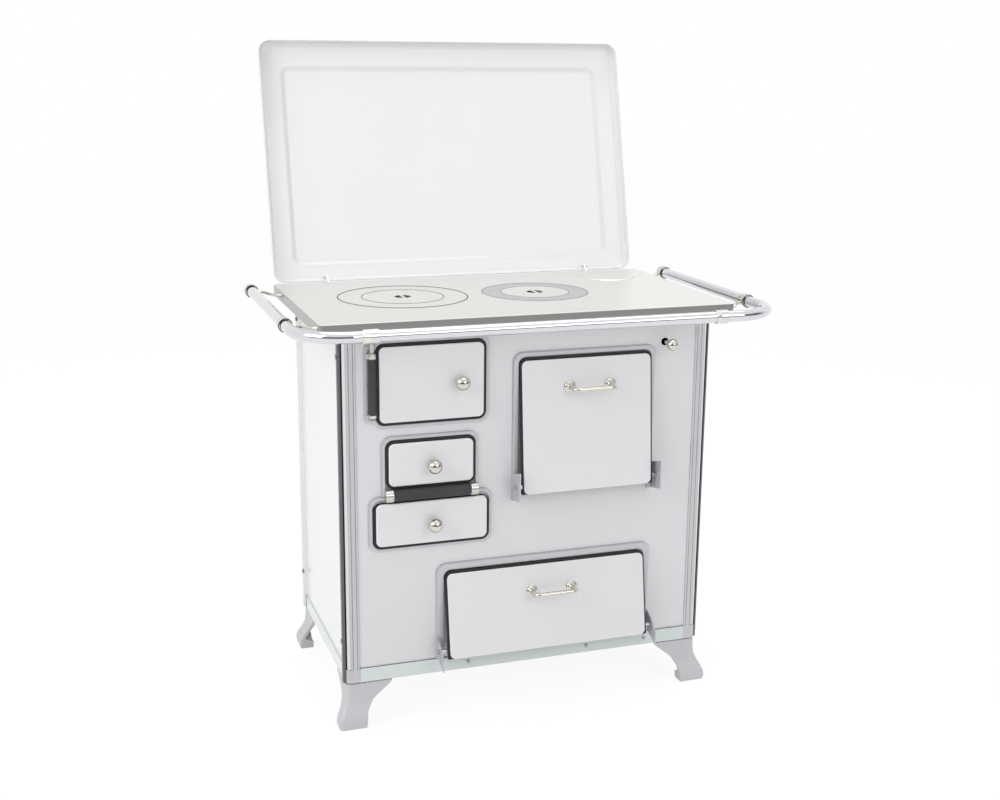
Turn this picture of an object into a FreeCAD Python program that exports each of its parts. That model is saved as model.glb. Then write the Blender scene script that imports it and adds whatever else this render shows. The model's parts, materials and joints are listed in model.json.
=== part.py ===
import FreeCAD, Part
import Sketcher
import math
import os
import re

Vector = FreeCAD.Vector
Rotation = FreeCAD.Rotation
Placement = FreeCAD.Placement

# Driving dimensions, in millimetres and degrees.
SIZES = [
    ("front_reach", 240.4, "origin to the front panel's face"),
    ("casing_width", 752, "across the corner posts"),
    ("casing_depth", 428, "front face to back face"),
    ("hob_height", 812, "floor to hob top"),
    ("leg_height", 92, "floor to base tray"),
    ("sheet", 2, "casing sheet"),
    ("post_leg", 27, "each leg of a corner angle"),
    ("post_round", 10, "outer corner of an angle"),
    ("strip_height", 28, "base tray's lip"),
    ("strip_proud", 3, "lip stands out from the panels"),
    ("floor_sheet", 3, "base tray's floor"),
    ("seam_gap", 0.3, "between pieces that move apart"),
    ("past", 1, "a cutter's reach past what it cuts"),
    ("hob_side", 44, "hob plate past the corner posts"),
    ("hob_front", 27, "hob plate over the front panel"),
    ("hob_rear", 31, "hob plate over the back panel"),
    ("hob_thick", 8, "hob plate"),
    ("hob_skirt", 22, "hob plate's turned-down edge"),
    ("skirt_thick", 4, "wall of that edge"),
    ("hob_corner", 9, "hob plate's corners"),
    ("seat_step", 5, "ledge that a ring or lid rests on"),
    ("seat_depth", 4, "depth of that ledge"),
    ("ring_gap", 0.4, "round each loose ring"),
    ("left_ring_in", 225, "hob plate's left edge to the left cooking hole"),
    ("left_ring_back", 20, "left cooking hole behind the casing's middle"),
    ("left_ring_reach", 131, "left ring's outer radius"),
    ("left_disc_reach", 83, "left disc's radius"),
    ("hole_pitch", 279, "between the cooking holes"),
    ("right_ring_back", 4, "right cooking hole behind the casing's middle"),
    ("right_ring_reach", 110, "right ring's outer radius"),
    ("right_disc_reach", 70.5, "right disc's radius"),
    ("lifter_reach", 17, "radius of the two lifter holes"),
    ("lifter_bridge", 7, "bar left between them"),
    ("flue_in", 66, "flue outlet to the casing's right side"),
    ("flue_near", 63, "flue outlet to the back panel"),
    ("flue_reach", 60, "flue cover's radius"),
    ("flue_crown", 2, "flue cover above the hob"),
    ("flue_slope", 4, "slope round its top"),
    ("lid_side", 6, "hob plate's side edge to the lid"),
    ("lid_length", 521, "lid front to back"),
    ("lid_depth", 25, "lid's rim"),
    ("lid_sheet", 1.5, "lid sheet"),
    ("lid_corner", 26, "lid's corners"),
    ("lid_edge_round", 13, "round edge of the lid"),
    ("lid_side_border", 46, "rim to raised panel at the sides"),
    ("lid_rear_border", 36, "rim to raised panel at the hinge"),
    ("lid_front_border", 50, "rim to raised panel at the free edge"),
    ("panel_slope", 12, "slope round the raised panel"),
    ("panel_rise", 5, "height of the raised panel"),
    ("lid_open", 103.75, "lid's turn from shut to open"),
    ("lid_gap", 2, "hob top to the shut lid"),
    ("hinge_setback", 21.3, "hob plate's rear edge to the hinge pin"),
    ("hinge_rise", 6.4, "hinge pin above the hob top"),
    ("hinge_tail", 8.7, "lid's edge past the pin"),
    ("hinge_spread", 300, "hinge from the middle"),
    ("hinge_plate", 4, "hinge ear"),
    ("hinge_round", 6, "round end of the ear"),
    ("eye_side", 5.4, "hinge pin to the ear's rear edge"),
    ("eye_shoulder", 4.2, "hinge pin to the ear's upper front edge"),
    ("hinge_pin_reach", 2.5, "hinge pin's radius"),
    ("pin_fit", 0.05, "running fit round a pin"),
    ("rail_reach", 11, "handrail tube's radius"),
    ("rail_wall", 1.5, "handrail tube's wall"),
    ("rail_drop", 5, "hob top to the handrail's centreline"),
    ("rail_front", 125, "handrail in front of the front panel"),
    ("rail_out", 53, "hob plate's side edge to the side rails"),
    ("rail_rear_short", 4, "side rails' rear ends before the back panel"),
    ("bend_reach", 92, "handrail bend's radius"),
    ("elbow_leg", 39, "straight part of an elbow along the front"),
    ("side_joint", 24, "side joint behind the front panel"),
    ("collar_reach", 13.5, "collar's radius"),
    ("collar_length", 16, "collar"),
    ("arm_reach", 3.5, "bracket rod's radius"),
    ("arm_miter", 2, "outline shift where the rod bends"),
    ("arm_round", 2.8, "its round edges"),
    ("arm_start", 10, "its straight start at the collar"),
    ("arm_end", 8, "its straight end at the hob"),
    ("front_arm_shift", 36, "front rod's run to the front"),
    ("rear_arm_shift", 60, "rear rod's run to the front"),
    ("door_proud", 13, "upright doors stand out from the panel"),
    ("cover_thick", 4, "enamelled door cover"),
    ("cover_round", 11, "cover's corners"),
    ("cover_edge", 2.4, "cover's front edge"),
    ("cover_margin", 5.5, "door seen round its cover"),
    ("lean_margin", 3.5, "leaning door seen beside its cover"),
    ("door_gap", 0.6, "door to the panel"),
    ("barrel_reach", 7, "fire door barrel's radius"),
    ("barrel_out", 11, "its middle in front of the panel"),
    ("air_barrel_reach", 11, "middle door barrel's radius"),
    ("air_barrel_out", 12.5, "its middle in front of the panel"),
    ("air_collar_reach", 12, "radius of the collars at its ends"),
    ("collar_out", 8, "those collars outside the cover"),
    ("collar_in", 7, "those collars inside the cover's edge"),
    ("web_back", 2, "a barrel's web to the door's back"),
    ("barrel_pin_reach", 2.5, "door pin's radius"),
    ("rim_clear", 1.5, "leaning door to the rim round it"),
    ("rim_wide", 7, "width of the rim round an upright door"),
    ("rim_proud", 6, "pressed rim stands out from the panel"),
    ("rim_round", 4.5, "its round front edge"),
    ("rim_corner", 20, "its outer corners"),
    ("door_clear", 1, "upright door to the rim round it"),
    ("fire_in", 70, "casing's left side to the fire door's cover"),
    ("fire_wide", 205, "fire door's cover across"),
    ("fire_tall", 145.5, "fire door's cover, low to high"),
    ("fire_drop", 50.5, "hob top to the fire door's cover"),
    ("fire_neck", 11.3, "door's edge to its barrel"),
    ("fire_barrel_up", 18, "cover's lower edge to the barrel"),
    ("fire_barrel_down", 21, "barrel to the cover's upper edge"),
    ("fire_cap_low", 6.5, "lower hinge cap"),
    ("fire_cap_high", 10, "upper hinge cap"),
    ("recess_clear", 6, "hinge cap to the rim round the hinge"),
    ("fire_knob_in", 48, "cover's right edge to the fire door knob"),
    ("fire_knob_up", 72, "cover's lower edge to the fire door knob"),
    ("air_in", 17, "fire door's cover to the middle door's, at the left"),
    ("air_wide", 167.3, "middle door's cover across"),
    ("air_tall", 84, "middle door's cover, low to high"),
    ("air_drop", 42, "fire door's cover to the middle door's"),
    ("air_barrel_drop", 17.3, "middle door's cover to its barrel"),
    ("air_knob_in", 85, "cover's left edge to the middle door knob"),
    ("air_knob_up", 39, "cover's lower edge to the middle door knob"),
    ("ash_out", 9, "ash drawer's cover left of the fire door's"),
    ("ash_wide", 221.5, "ash drawer's cover across"),
    ("ash_tall", 85, "ash drawer's cover, low to high"),
    ("ash_drop", 34, "middle door's cover to the ash drawer's"),
    ("ash_knob_in", 112, "cover's left edge to the ash drawer knob"),
    ("ash_knob_up", 40, "cover's lower edge to the ash drawer knob"),
    ("tray_length", 300, "ash tray"),
    ("tray_height", 62, "ash tray"),
    ("tray_wall", 1.5, "ash tray's sheet"),
    ("tray_inset", 14, "cover's edge to the ash tray"),
    ("tray_clear", 3, "ash tray to the panel's opening"),
    ("opening_inset", 8, "cover's edge to the panel's opening"),
    ("knob_reach", 14.5, "knob's radius"),
    ("knob_neck", 6, "knob's neck radius"),
    ("knob_base", 10, "knob's foot radius"),
    ("knob_foot", 4, "knob's foot"),
    ("knob_stand", 17.5, "cover to the knob's middle"),
    ("oven_in", 265, "oven's middle to the casing's right side"),
    ("oven_half", 135, "oven door cover's half width"),
    ("oven_door_length", 263.5, "oven door along its slope"),
    ("oven_lean", 5, "oven door's lean"),
    ("oven_pivot_out", 28, "oven pivot in front of the panel"),
    ("oven_pivot_drop", 341, "hob top to the oven door's pivot"),
    ("oven_face", 5.7, "oven pivot to the cover's face"),
    ("oven_foot", 15.5, "oven door below its pivot"),
    ("oven_floor_up", 11, "oven pivot to the oven's floor inside"),
    ("oven_tall", 232, "oven inside, floor to roof"),
    ("oven_back_gap", 40, "oven's back to the back panel"),
    ("oven_wall", 3, "oven box wall"),
    ("oven_inner_half", 124, "oven's half width inside"),
    ("shelf_up", 114, "oven's floor to the shelf's bearer"),
    ("shelf_bearer", 6, "oven shelf's bearer"),
    ("bearer_setback", 20, "panel to the bearers"),
    ("shelf_front", 24, "panel to the oven shelf"),
    ("shelf_back", 8, "oven shelf to the oven's back"),
    ("shelf_rod", 2.5, "oven shelf's rod radius"),
    ("shelf_cross", 1.8, "cross rod's radius"),
    ("shelf_rods", 9, "cross rods in the oven shelf"),
    ("ear_half", 148, "oven frame's half width inside its ears"),
    ("ear_thick", 2.5, "pivot ear"),
    ("oven_rim_up", 264, "oven pivot to its frame's upper edge"),
    ("oven_rim_down", 34, "oven pivot to its frame's lower edge"),
    ("oven_ear_out", 50, "oven ear in front of the panel"),
    ("oven_ear_up", 34, "oven pivot to its ear's upper corner"),
    ("oven_ear_down", 24, "oven pivot to its ear's lower corner"),
    ("oven_ear_foot", 20, "oven pivot to its ear's corner at the panel"),
    ("lean_door_thick", 8, "leaning door behind its cover"),
    ("lean_cover", 3, "leaning door's cover"),
    ("lip_gap", 0.4, "leaning door to the box's lip"),
    ("box_reach", 60, "boxes in front of the panel before their lips are cut"),
    ("cut_reach", 200, "size of those cutters"),
    ("pivot_reach", 2.5, "pivot screw's radius"),
    ("pivot_head", 5, "pivot screw's head radius"),
    ("pivot_hold", 9, "pivot screw inside the door"),
    ("pivot_short", 1, "pivot screw's end to the bottom of its hole"),
    ("lug_length", 12, "round lug at a pivot, along the door"),
    ("handle_reach", 5, "handle bar's radius"),
    ("handle_span", 85, "handle between its posts"),
    ("handle_stand", 30, "handle bar from the cover"),
    ("handle_drop", 4, "bar below its posts' roots"),
    ("handle_post", 4.5, "handle post's radius"),
    ("handle_knuckle", 6, "ball where post and bar meet"),
    ("rosette_reach", 12, "handle rosette's radius"),
    ("rosette_thick", 4, "handle rosette"),
    ("oven_handle_right", 4.5, "oven handle right of the oven's middle"),
    ("oven_handle_up", 192.5, "oven handle above the pivot"),
    ("wood_in", 342, "lower compartment's middle to the casing's right side"),
    ("wood_half", 209, "lower door cover's half width"),
    ("wood_door_length", 171, "lower door along its slope"),
    ("wood_lean", 9, "lower door's lean"),
    ("wood_pivot_out", 25, "lower pivot in front of the panel"),
    ("wood_pivot_up", 53, "base tray to the lower door's pivot"),
    ("wood_face", 12.8, "lower pivot to the cover's face"),
    ("wood_foot", 15.2, "lower door below its pivot"),
    ("wood_floor_up", 5, "lower pivot to the compartment's floor inside"),
    ("wood_tall", 146, "lower compartment, floor to roof"),
    ("wood_back_gap", 33, "lower compartment's back to the back panel"),
    ("wood_wall", 2, "lower compartment's sheet"),
    ("wood_inner_half", 198, "lower compartment's half width inside"),
    ("wood_runner", 20, "each foot of the compartment inward from its side"),
    ("wood_ear_half", 226, "lower frame's half width inside its ears"),
    ("wood_rim_up", 176, "lower pivot to its frame's upper edge"),
    ("wood_ear_out", 52, "lower ear in front of the panel"),
    ("wood_ear_foot", 27, "lower pivot to its ear's corner at the panel"),
    ("wood_ear_up", 13, "lower pivot to its ear's shoulder"),
    ("wood_ear_bend", 28.6, "lower ear's shoulder in front of the panel"),
    ("wood_ear_down", 11, "lower pivot to its ear's nose"),
    ("wood_tip_down", 33, "lower pivot to its ear's tip"),
    ("wood_handle_right", 7.5, "lower handle right of the compartment's middle"),
    ("wood_handle_up", 103, "lower handle above the pivot"),
    ("divider_up", 39, "lower compartment's roof to the inner shelf"),
    ("housing_in", 24, "casing's left side to the ash housing"),
    ("housing_wide", 290, "ash housing across"),
    ("housing_back_gap", 66, "ash housing to the back panel"),
    ("housing_wall", 3, "ash housing's sheet"),
    ("grate_drop", 26, "fire door's cover to the grate's seat"),
    ("seat_plate", 14, "plate that carries grate and bricks"),
    ("grate_thick", 12, "grate"),
    ("grate_slot", 9, "slot in the grate"),
    ("grate_pitch", 20, "slots from middle to middle"),
    ("grate_slots", 10, "slots in the grate"),
    ("grate_border", 16, "grate's edge to its slots"),
    ("brick_thick", 28, "fire brick"),
    ("fire_gap", 36, "front panel to the fire bricks"),
    ("throat_drop", 62, "hob top to the plate under the flue outlet"),
    ("throat_reach", 48, "its hole's radius"),
    ("throat_in", 68, "flue outlet to that plate's left edge"),
    ("throat_near", 65, "flue outlet to that plate's front edge"),
    ("damper_in", 28, "flue outlet to the damper rod"),
    ("damper_drop", 12.5, "plate under the flue outlet to the damper rod"),
    ("damper_rod_reach", 4, "damper rod's radius"),
    ("damper_hole", 8, "hole for the damper rod"),
    ("damper_stand", 35, "damper knob in front of the panel"),
    ("damper_knob_reach", 12, "damper knob's radius"),
    ("damper_neck_reach", 7, "neck behind the damper knob"),
    ("damper_neck_start", 7, "knob's middle to that neck"),
    ("damper_neck_end", 18, "knob's middle to the neck's end"),
    ("damper_plate_length", 112, "damper plate"),
    ("damper_back_gap", 2, "damper plate to the back panel"),
    ("damper_left", 8, "throat plate's left edge to the damper plate"),
    ("damper_right", 4, "damper plate to the right side"),
    ("damper_boss", 30, "socket for the rod"),
    ("damper_grip", 24, "rod inside that socket"),
    ("damper_socket", 7, "damper plate's socket"),
    ("leg_reach", 92, "leg's wings along the casing"),
    ("leg_toe", 20, "foot outside the casing"),
    ("leg_toe_in", 3, "foot's edge on the floor inside its toe"),
    ("leg_toe_up", 11, "toe above the floor"),
    ("leg_instep_out", 17, "instep outside the casing"),
    ("leg_instep_up", 23, "instep above the floor"),
    ("leg_shin_out", 2, "shin outside the casing"),
    ("leg_shin_up", 55, "shin above the floor"),
    ("leg_ankle", 36, "foot's inner edge"),
    ("leg_calf", 40, "inner edge at the calf"),
    ("leg_calf_up", 33, "calf above the floor"),
    ("leg_arch", 52, "inner edge at the arch"),
    ("leg_arch_up", 53, "arch above the floor"),
    ("leg_tip_in", 2, "wing's lower end inside its upper end"),
    ("leg_tip_drop", 6, "edge of the wing's end"),
    ("leg_wall", 9, "leg's wall"),
    ("leg_pocket_in", 4, "leg's wall to the straight part of its hollow"),
    ("leg_pocket_up", 8, "sole to that part"),
    ("leg_flange", 3, "plate on top of a leg"),
    ("leg_flange_over", 6, "that plate past the leg"),
    ("leg_plate_in", 2, "that plate inside the casing's corner"),
    ("leg_sole", 14, "foot's solid sole"),
    ("bolt_reach", 4, "leg bolt's radius"),
    ("bolt_head", 7, "leg bolt's head radius"),
    ("bolt_head_thick", 5, "leg bolt's head"),
    ("bolt_inset", 46, "leg bolt from the casing's corner"),
    ("screw_reach", 2, "casing screw's radius"),
    ("screw_head", 4.2, "casing screw's head radius"),
    ("screw_crown", 3, "flat top of that head"),
    ("screw_head_thick", 2.2, "casing screw's head"),
    ("post_screw_inset", 15, "post screw from the corner"),
    ("post_screw_up", 84, "base tray to the lower post screw"),
    ("post_screw_drop", 69, "hob top to the upper post screw"),
    ("strip_screw_left", 128, "middle to the base strip's left screw"),
    ("strip_screw_right", 127, "middle to its right screw"),
    ("strip_screw_far", 257, "middle to its far right screw"),
    ("strip_screw_up", 14, "base tray to the base strip's screws"),
]

# Places worked out from the sizes.
PLACES = [
    ("hob_width", "casing_width + 2 * hob_side"),
    ("lid_width", "hob_width - 2 * lid_side"),
    ("rail_height", "hob_height - rail_drop"),
    ("rail_spread", "hob_width / 2 + rail_out"),
    ("rail_rear", "casing_depth - rail_rear_short"),
    ("left_ring_x", "left_ring_in - hob_width / 2"),
    ("left_ring_y", "casing_depth / 2 + left_ring_back"),
    ("right_ring_x", "left_ring_x + hole_pitch"),
    ("right_ring_y", "casing_depth / 2 + right_ring_back"),
    ("flue_x", "casing_width / 2 - flue_in"),
    ("flue_y", "casing_depth - flue_near"),
    ("fire_left", "fire_in - casing_width / 2"),
    ("fire_right", "fire_left + fire_wide"),
    ("fire_high", "hob_height - fire_drop"),
    ("fire_low", "fire_high - fire_tall"),
    ("fire_knob_x", "fire_right - fire_knob_in"),
    ("fire_knob_z", "fire_low + fire_knob_up"),
    ("air_left", "fire_left + air_in"),
    ("air_right", "air_left + air_wide"),
    ("air_high", "fire_low - air_drop"),
    ("air_low", "air_high - air_tall"),
    ("air_barrel", "air_low - air_barrel_drop"),
    ("air_knob_x", "air_left + air_knob_in"),
    ("air_knob_z", "air_low + air_knob_up"),
    ("ash_left", "fire_left - ash_out"),
    ("ash_right", "ash_left + ash_wide"),
    ("ash_high", "air_low - ash_drop"),
    ("ash_low", "ash_high - ash_tall"),
    ("ash_knob_x", "ash_left + ash_knob_in"),
    ("ash_knob_z", "ash_low + ash_knob_up"),
    ("oven_x", "casing_width / 2 - oven_in"),
    ("oven_pivot_z", "hob_height - oven_pivot_drop"),
    ("oven_low", "oven_pivot_z + oven_floor_up"),
    ("oven_high", "oven_low + oven_tall"),
    ("oven_deep", "casing_depth - oven_back_gap"),
    ("shelf_level", "oven_low + shelf_up"),
    ("oven_rim_high", "oven_pivot_z + oven_rim_up"),
    ("oven_rim_low", "oven_pivot_z - oven_rim_down"),
    ("oven_ear_high", "oven_pivot_z + oven_ear_up"),
    ("oven_ear_low", "oven_pivot_z - oven_ear_down"),
    ("oven_ear_root", "oven_pivot_z + oven_ear_foot"),
    ("oven_handle_x", "oven_x + oven_handle_right"),
    ("wood_x", "casing_width / 2 - wood_in"),
    ("wood_pivot_z", "leg_height + wood_pivot_up"),
    ("wood_low", "wood_pivot_z + wood_floor_up"),
    ("wood_high", "wood_low + wood_tall"),
    ("wood_deep", "casing_depth - wood_back_gap"),
    ("wood_rim_high", "wood_pivot_z + wood_rim_up"),
    ("wood_ear_root", "wood_pivot_z + wood_ear_foot"),
    ("wood_ear_shoulder", "wood_pivot_z + wood_ear_up"),
    ("wood_ear_nose", "wood_pivot_z - wood_ear_down"),
    ("wood_ear_tip", "wood_pivot_z - wood_tip_down"),
    ("wood_handle_x", "wood_x + wood_handle_right"),
    ("divider_level", "wood_high + divider_up"),
    ("housing_left", "housing_in - casing_width / 2"),
    ("housing_right", "housing_left + housing_wide"),
    ("housing_deep", "casing_depth - housing_back_gap"),
    ("grate_level", "fire_low - grate_drop"),
    ("throat_level", "hob_height - throat_drop"),
    ("throat_left", "flue_x - throat_in"),
    ("throat_front", "flue_y - throat_near"),
    ("damper_x", "flue_x - damper_in"),
    ("damper_z", "throat_level - damper_drop"),
    ("post_screw_low", "leg_height + post_screw_up"),
    ("post_screw_high", "hob_height - post_screw_drop"),
    ("strip_screw_z", "leg_height + strip_screw_up"),
    ("half", "casing_width / 2"),
    ("front", "-front_reach"),
    ("back", "front + casing_depth"),
    ("inner_front", "front + sheet"),
    ("inner_back", "back - sheet"),
    ("side_face", "half - sheet"),
    ("inner_side", "side_face - sheet"),
    ("floor_top", "leg_height + floor_sheet"),
    ("hob_under", "hob_height - hob_thick"),
    ("hob_low", "hob_height - hob_skirt"),
    ("hob_front_edge", "front - hob_front"),
    ("hob_back_edge", "back + hob_rear"),
    ("pin_y", "hob_back_edge + hinge_setback"),
    ("pin_z", "hob_height + hinge_rise"),
    ("lid_low", "lid_gap - hinge_rise"),
    ("lid_top", "lid_low + lid_depth"),
    ("lid_free", "hinge_tail - lid_length"),
    ("cover_face", "front - door_proud"),
    ("cover_back", "cover_face + cover_thick"),
    ("door_back", "front - door_gap"),
    ("barrel_y", "front - barrel_out"),
    ("air_barrel_y", "front - air_barrel_out"),
    ("rim_face", "front - rim_proud"),
    ("rim_edge", "cover_margin + door_clear"),
    ("fire_barrel_x", "fire_left - cover_margin - fire_neck + barrel_reach / 2"),
    ("fire_barrel_low", "fire_low + fire_barrel_up"),
    ("fire_barrel_high", "fire_high - fire_barrel_down"),
    ("hinge_recess_left", "fire_barrel_x - barrel_reach - seam_gap"),
    ("ash_rim_high", "ash_high + rim_edge"),
    ("oven_pivot_y", "front - oven_pivot_out"),
    ("wood_pivot_y", "front - wood_pivot_out"),
    ("oven_door_back", "lean_cover + lean_door_thick - oven_face"),
    ("wood_door_back", "lean_cover + lean_door_thick - wood_face"),
    ("seat_top", "grate_level"),
    ("seat_low", "grate_level - seat_plate"),
    ("fire_back", "front + housing_deep"),
    ("rail_y", "front - rail_front"),
    ("rail_back", "front + rail_rear"),
    ("side_joint_y", "front + side_joint"),
    ("elbow_x", "rail_spread - bend_reach"),
    ("elbow_y", "rail_y + bend_reach"),
    ("front_joint_x", "elbow_x - elbow_leg"),
    ("tray_left", "ash_left + tray_inset"),
    ("tray_right", "ash_right - tray_inset"),
    ("tray_low", "ash_low + opening_inset"),
    ("tray_high", "tray_low + tray_height"),
    ("tray_back", "inner_front + tray_length"),
    ("damper_near", "inner_back - damper_back_gap - damper_plate_length"),
]

document = FreeCAD.newDocument("Cooker")
sheet_names = {name: "Sizes." for name, size, note in SIZES}
sheet_names.update({name: "Places." for name, words in PLACES})


def formula(words):
    """Write a size's plain name as its cell, so that '-half + sheet' can be bound."""
    def cell(word):
        return sheet_names.get(word.group(), "") + word.group()
    return re.sub(r"[a-z][a-z_0-9]*", cell, str(words))


def bind(thing, field, words):
    thing.setExpression(field, formula(words))


def make_sheet():
    sheet = document.addObject("Spreadsheet::Sheet", "Sizes")
    for row, (name, size, note) in enumerate(SIZES, 1):
        sheet.set("A" + str(row), note)
        sheet.set("B" + str(row), str(size))
        sheet.setAlias("B" + str(row), name)
    places = document.addObject("App::VarSet", "Places")
    for name, words in PLACES:
        places.addProperty("App::PropertyFloat", name)
        bind(places, name, words)
    document.recompute()
    return sheet, places


sizes, places = make_sheet()


def value(name):
    """A size or place as a number."""
    if sheet_names[name] == "Sizes.":
        return float(sizes.get(name))
    return float(getattr(places, name))


# Blocks, bars and how they are joined.

TURNS = {"x": Rotation(Vector(0, 1, 0), 90), "y": Rotation(Vector(1, 0, 0), -90), "z": Rotation()}


def block(name, wide, deep, tall):
    """A rectangular block from a low to a high place along X, Y and Z."""
    solid = document.addObject("Part::Box", name)
    for field, axis, (low, high) in zip(("Length", "Width", "Height"), "xyz", (wide, deep, tall)):
        bind(solid, field, f"({high}) - ({low})")
        bind(solid, "Placement.Base." + axis, low)
    return solid


def stand(solid, along, across, low):
    """Set a round solid on its axis: 'across' are the other two places, in X, Y, Z order."""
    solid.Placement = Placement(Vector(), TURNS[along])
    others = [axis for axis in "xyz" if axis != along]
    bind(solid, "Placement.Base." + along, low)
    bind(solid, "Placement.Base." + others[0], across[0])
    bind(solid, "Placement.Base." + others[1], across[1])
    return solid


def bar(name, along, reach, across, low, high):
    solid = document.addObject("Part::Cylinder", name)
    bind(solid, "Radius", reach)
    bind(solid, "Height", f"({high}) - ({low})")
    return stand(solid, along, across, low)


def taper(name, along, low_reach, high_reach, across, low, high):
    solid = document.addObject("Part::Cone", name)
    bind(solid, "Radius1", low_reach)
    bind(solid, "Radius2", high_reach)
    bind(solid, "Height", f"({high}) - ({low})")
    return stand(solid, along, across, low)


def ball(name, reach, x, y, z):
    solid = document.addObject("Part::Sphere", name)
    bind(solid, "Radius", reach)
    for axis, place in zip("xyz", (x, y, z)):
        bind(solid, "Placement.Base." + axis, place)
    return solid


def fuse(name, *pieces):
    joined = document.addObject("Part::MultiFuse", name)
    joined.Shapes = list(pieces)
    joined.Refine = True
    return joined


def cut(name, base, *tools):
    if len(tools) > 1:
        tool = group(name + "_tools", *tools)
    else:
        tool = tools[0]
    made = document.addObject("Part::Cut", name)
    made.Base = base
    made.Tool = tool
    return made


def group(name, *pieces):
    held = document.addObject("Part::Compound", name)
    held.Links = list(pieces)
    return held


def lean(solid, y, z, turn):
    """Turn a solid about its own X axis and set that axis at a place."""
    solid.Placement = Placement(Vector(), Rotation(Vector(1, 0, 0), 1))
    bind(solid, "Placement.Rotation.Angle", turn)
    bind(solid, "Placement.Base.y", y)
    bind(solid, "Placement.Base.z", z)
    return solid


# Sketched bodies.

def new_body(name):
    return document.addObject("PartDesign::Body", name)


def sketch_on(body, plane, offset):
    """A sketch on one of the body's own planes, moved along its normal."""
    name = body.Name + "_sketch" + str(len(body.Group))
    sketch = body.newObject("Sketcher::SketchObject", name)
    origin = [item for item in body.Origin.OriginFeatures if item.Role == plane + "_Plane"][0]
    sketch.AttachmentSupport = [(origin, "")]
    sketch.MapMode = "FlatFace"
    bind(sketch, "AttachmentOffset.Base.z", offset)
    return sketch


def place_point(sketch, item, end, spot, start):
    """Tie a point of the sketch to two bound distances from the sketch's origin."""
    for kind, words, rough in (("DistanceX", spot[0], start.x), ("DistanceY", spot[1], start.y)):
        tie = sketch.addConstraint(Sketcher.Constraint(kind, -1, 1, item, end, rough))
        bind(sketch, f"Constraints[{tie}]", words)


def draw_outline(sketch, corners):
    """A closed outline of straight lines through bound corners."""
    count = len(corners)
    first = sketch.GeometryCount
    starts = []
    for step in range(count):
        turn = 2 * math.pi * step / count + 0.3
        starts.append(Vector(math.cos(turn), math.sin(turn), 0) * 10)
    for step in range(count):
        sketch.addGeometry(Part.LineSegment(starts[step], starts[(step + 1) % count]), False)
    for step in range(count):
        following = first + (step + 1) % count
        sketch.addConstraint(Sketcher.Constraint("Coincident", first + step, 2, following, 1))
        place_point(sketch, first + step, 1, corners[step], starts[step])


def draw_rectangle(sketch, wide, tall):
    (left, right), (low, high) = wide, tall
    draw_outline(sketch, [(left, low), (right, low), (right, high), (left, high)])


def draw_circle(sketch, x, y, reach):
    item = sketch.addGeometry(Part.Circle(Vector(), Vector(0, 0, 1), 10), False)
    place_point(sketch, item, 3, (x, y), Vector(1, 1, 0))
    tie = sketch.addConstraint(Sketcher.Constraint("Radius", item, 10))
    bind(sketch, f"Constraints[{tie}]", reach)


def pad(body, sketch, length, against=False):
    made = body.newObject("PartDesign::Pad", sketch.Name + "_pad")
    made.Profile = sketch
    made.Reversed = against
    bind(made, "Length", length)
    document.recompute()
    return made


def pocket(body, sketch, length, against=False):
    """Cut the sketch's outline along its normal, or against it."""
    before = body.Shape.Volume
    made = body.newObject("PartDesign::Pocket", sketch.Name + "_pocket")
    made.Profile = sketch
    made.Reversed = not against
    bind(made, "Length", length)
    document.recompute()
    assert body.Shape.Volume < before, body.Name + " pocket cuts nothing"
    return made


def round_edges(body, reach, chosen):
    """Round the edges of the body that the test picks."""
    base = body.Tip
    names = ["Edge" + str(place) for place, edge in enumerate(base.Shape.Edges, 1) if chosen(edge)]
    made = body.newObject("PartDesign::Fillet", body.Name + "_round" + str(len(body.Group)))
    made.Base = (base, names)
    bind(made, "Radius", reach)
    document.recompute()
    return made


def runs_along(edge, axis):
    """True where the edge is straight and parallel to the axis."""
    if edge.Curve.TypeId != "Part::GeomLine":
        return False
    return abs(getattr(edge.tangentAt(edge.FirstParameter), axis)) > 0.999


def lies_at(edge, axis, place):
    """True where the whole edge lies at one place along the axis."""
    box = edge.BoundBox
    low = getattr(box, axis.upper() + "Min")
    high = getattr(box, axis.upper() + "Max")
    return abs(low - place) < 0.01 and abs(high - place) < 0.01


def spin(body, corners, across="XZ"):
    """Turn an outline of radius and height about the sketch's upright axis."""
    sketch = sketch_on(body, across, 0)
    draw_outline(sketch, corners)
    made = body.newObject("PartDesign::Revolution", body.Name + "_spin")
    made.Profile = sketch
    made.ReferenceAxis = (sketch, ["V_Axis"])
    made.Angle = 360
    document.recompute()
    return made


# The casing.

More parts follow.
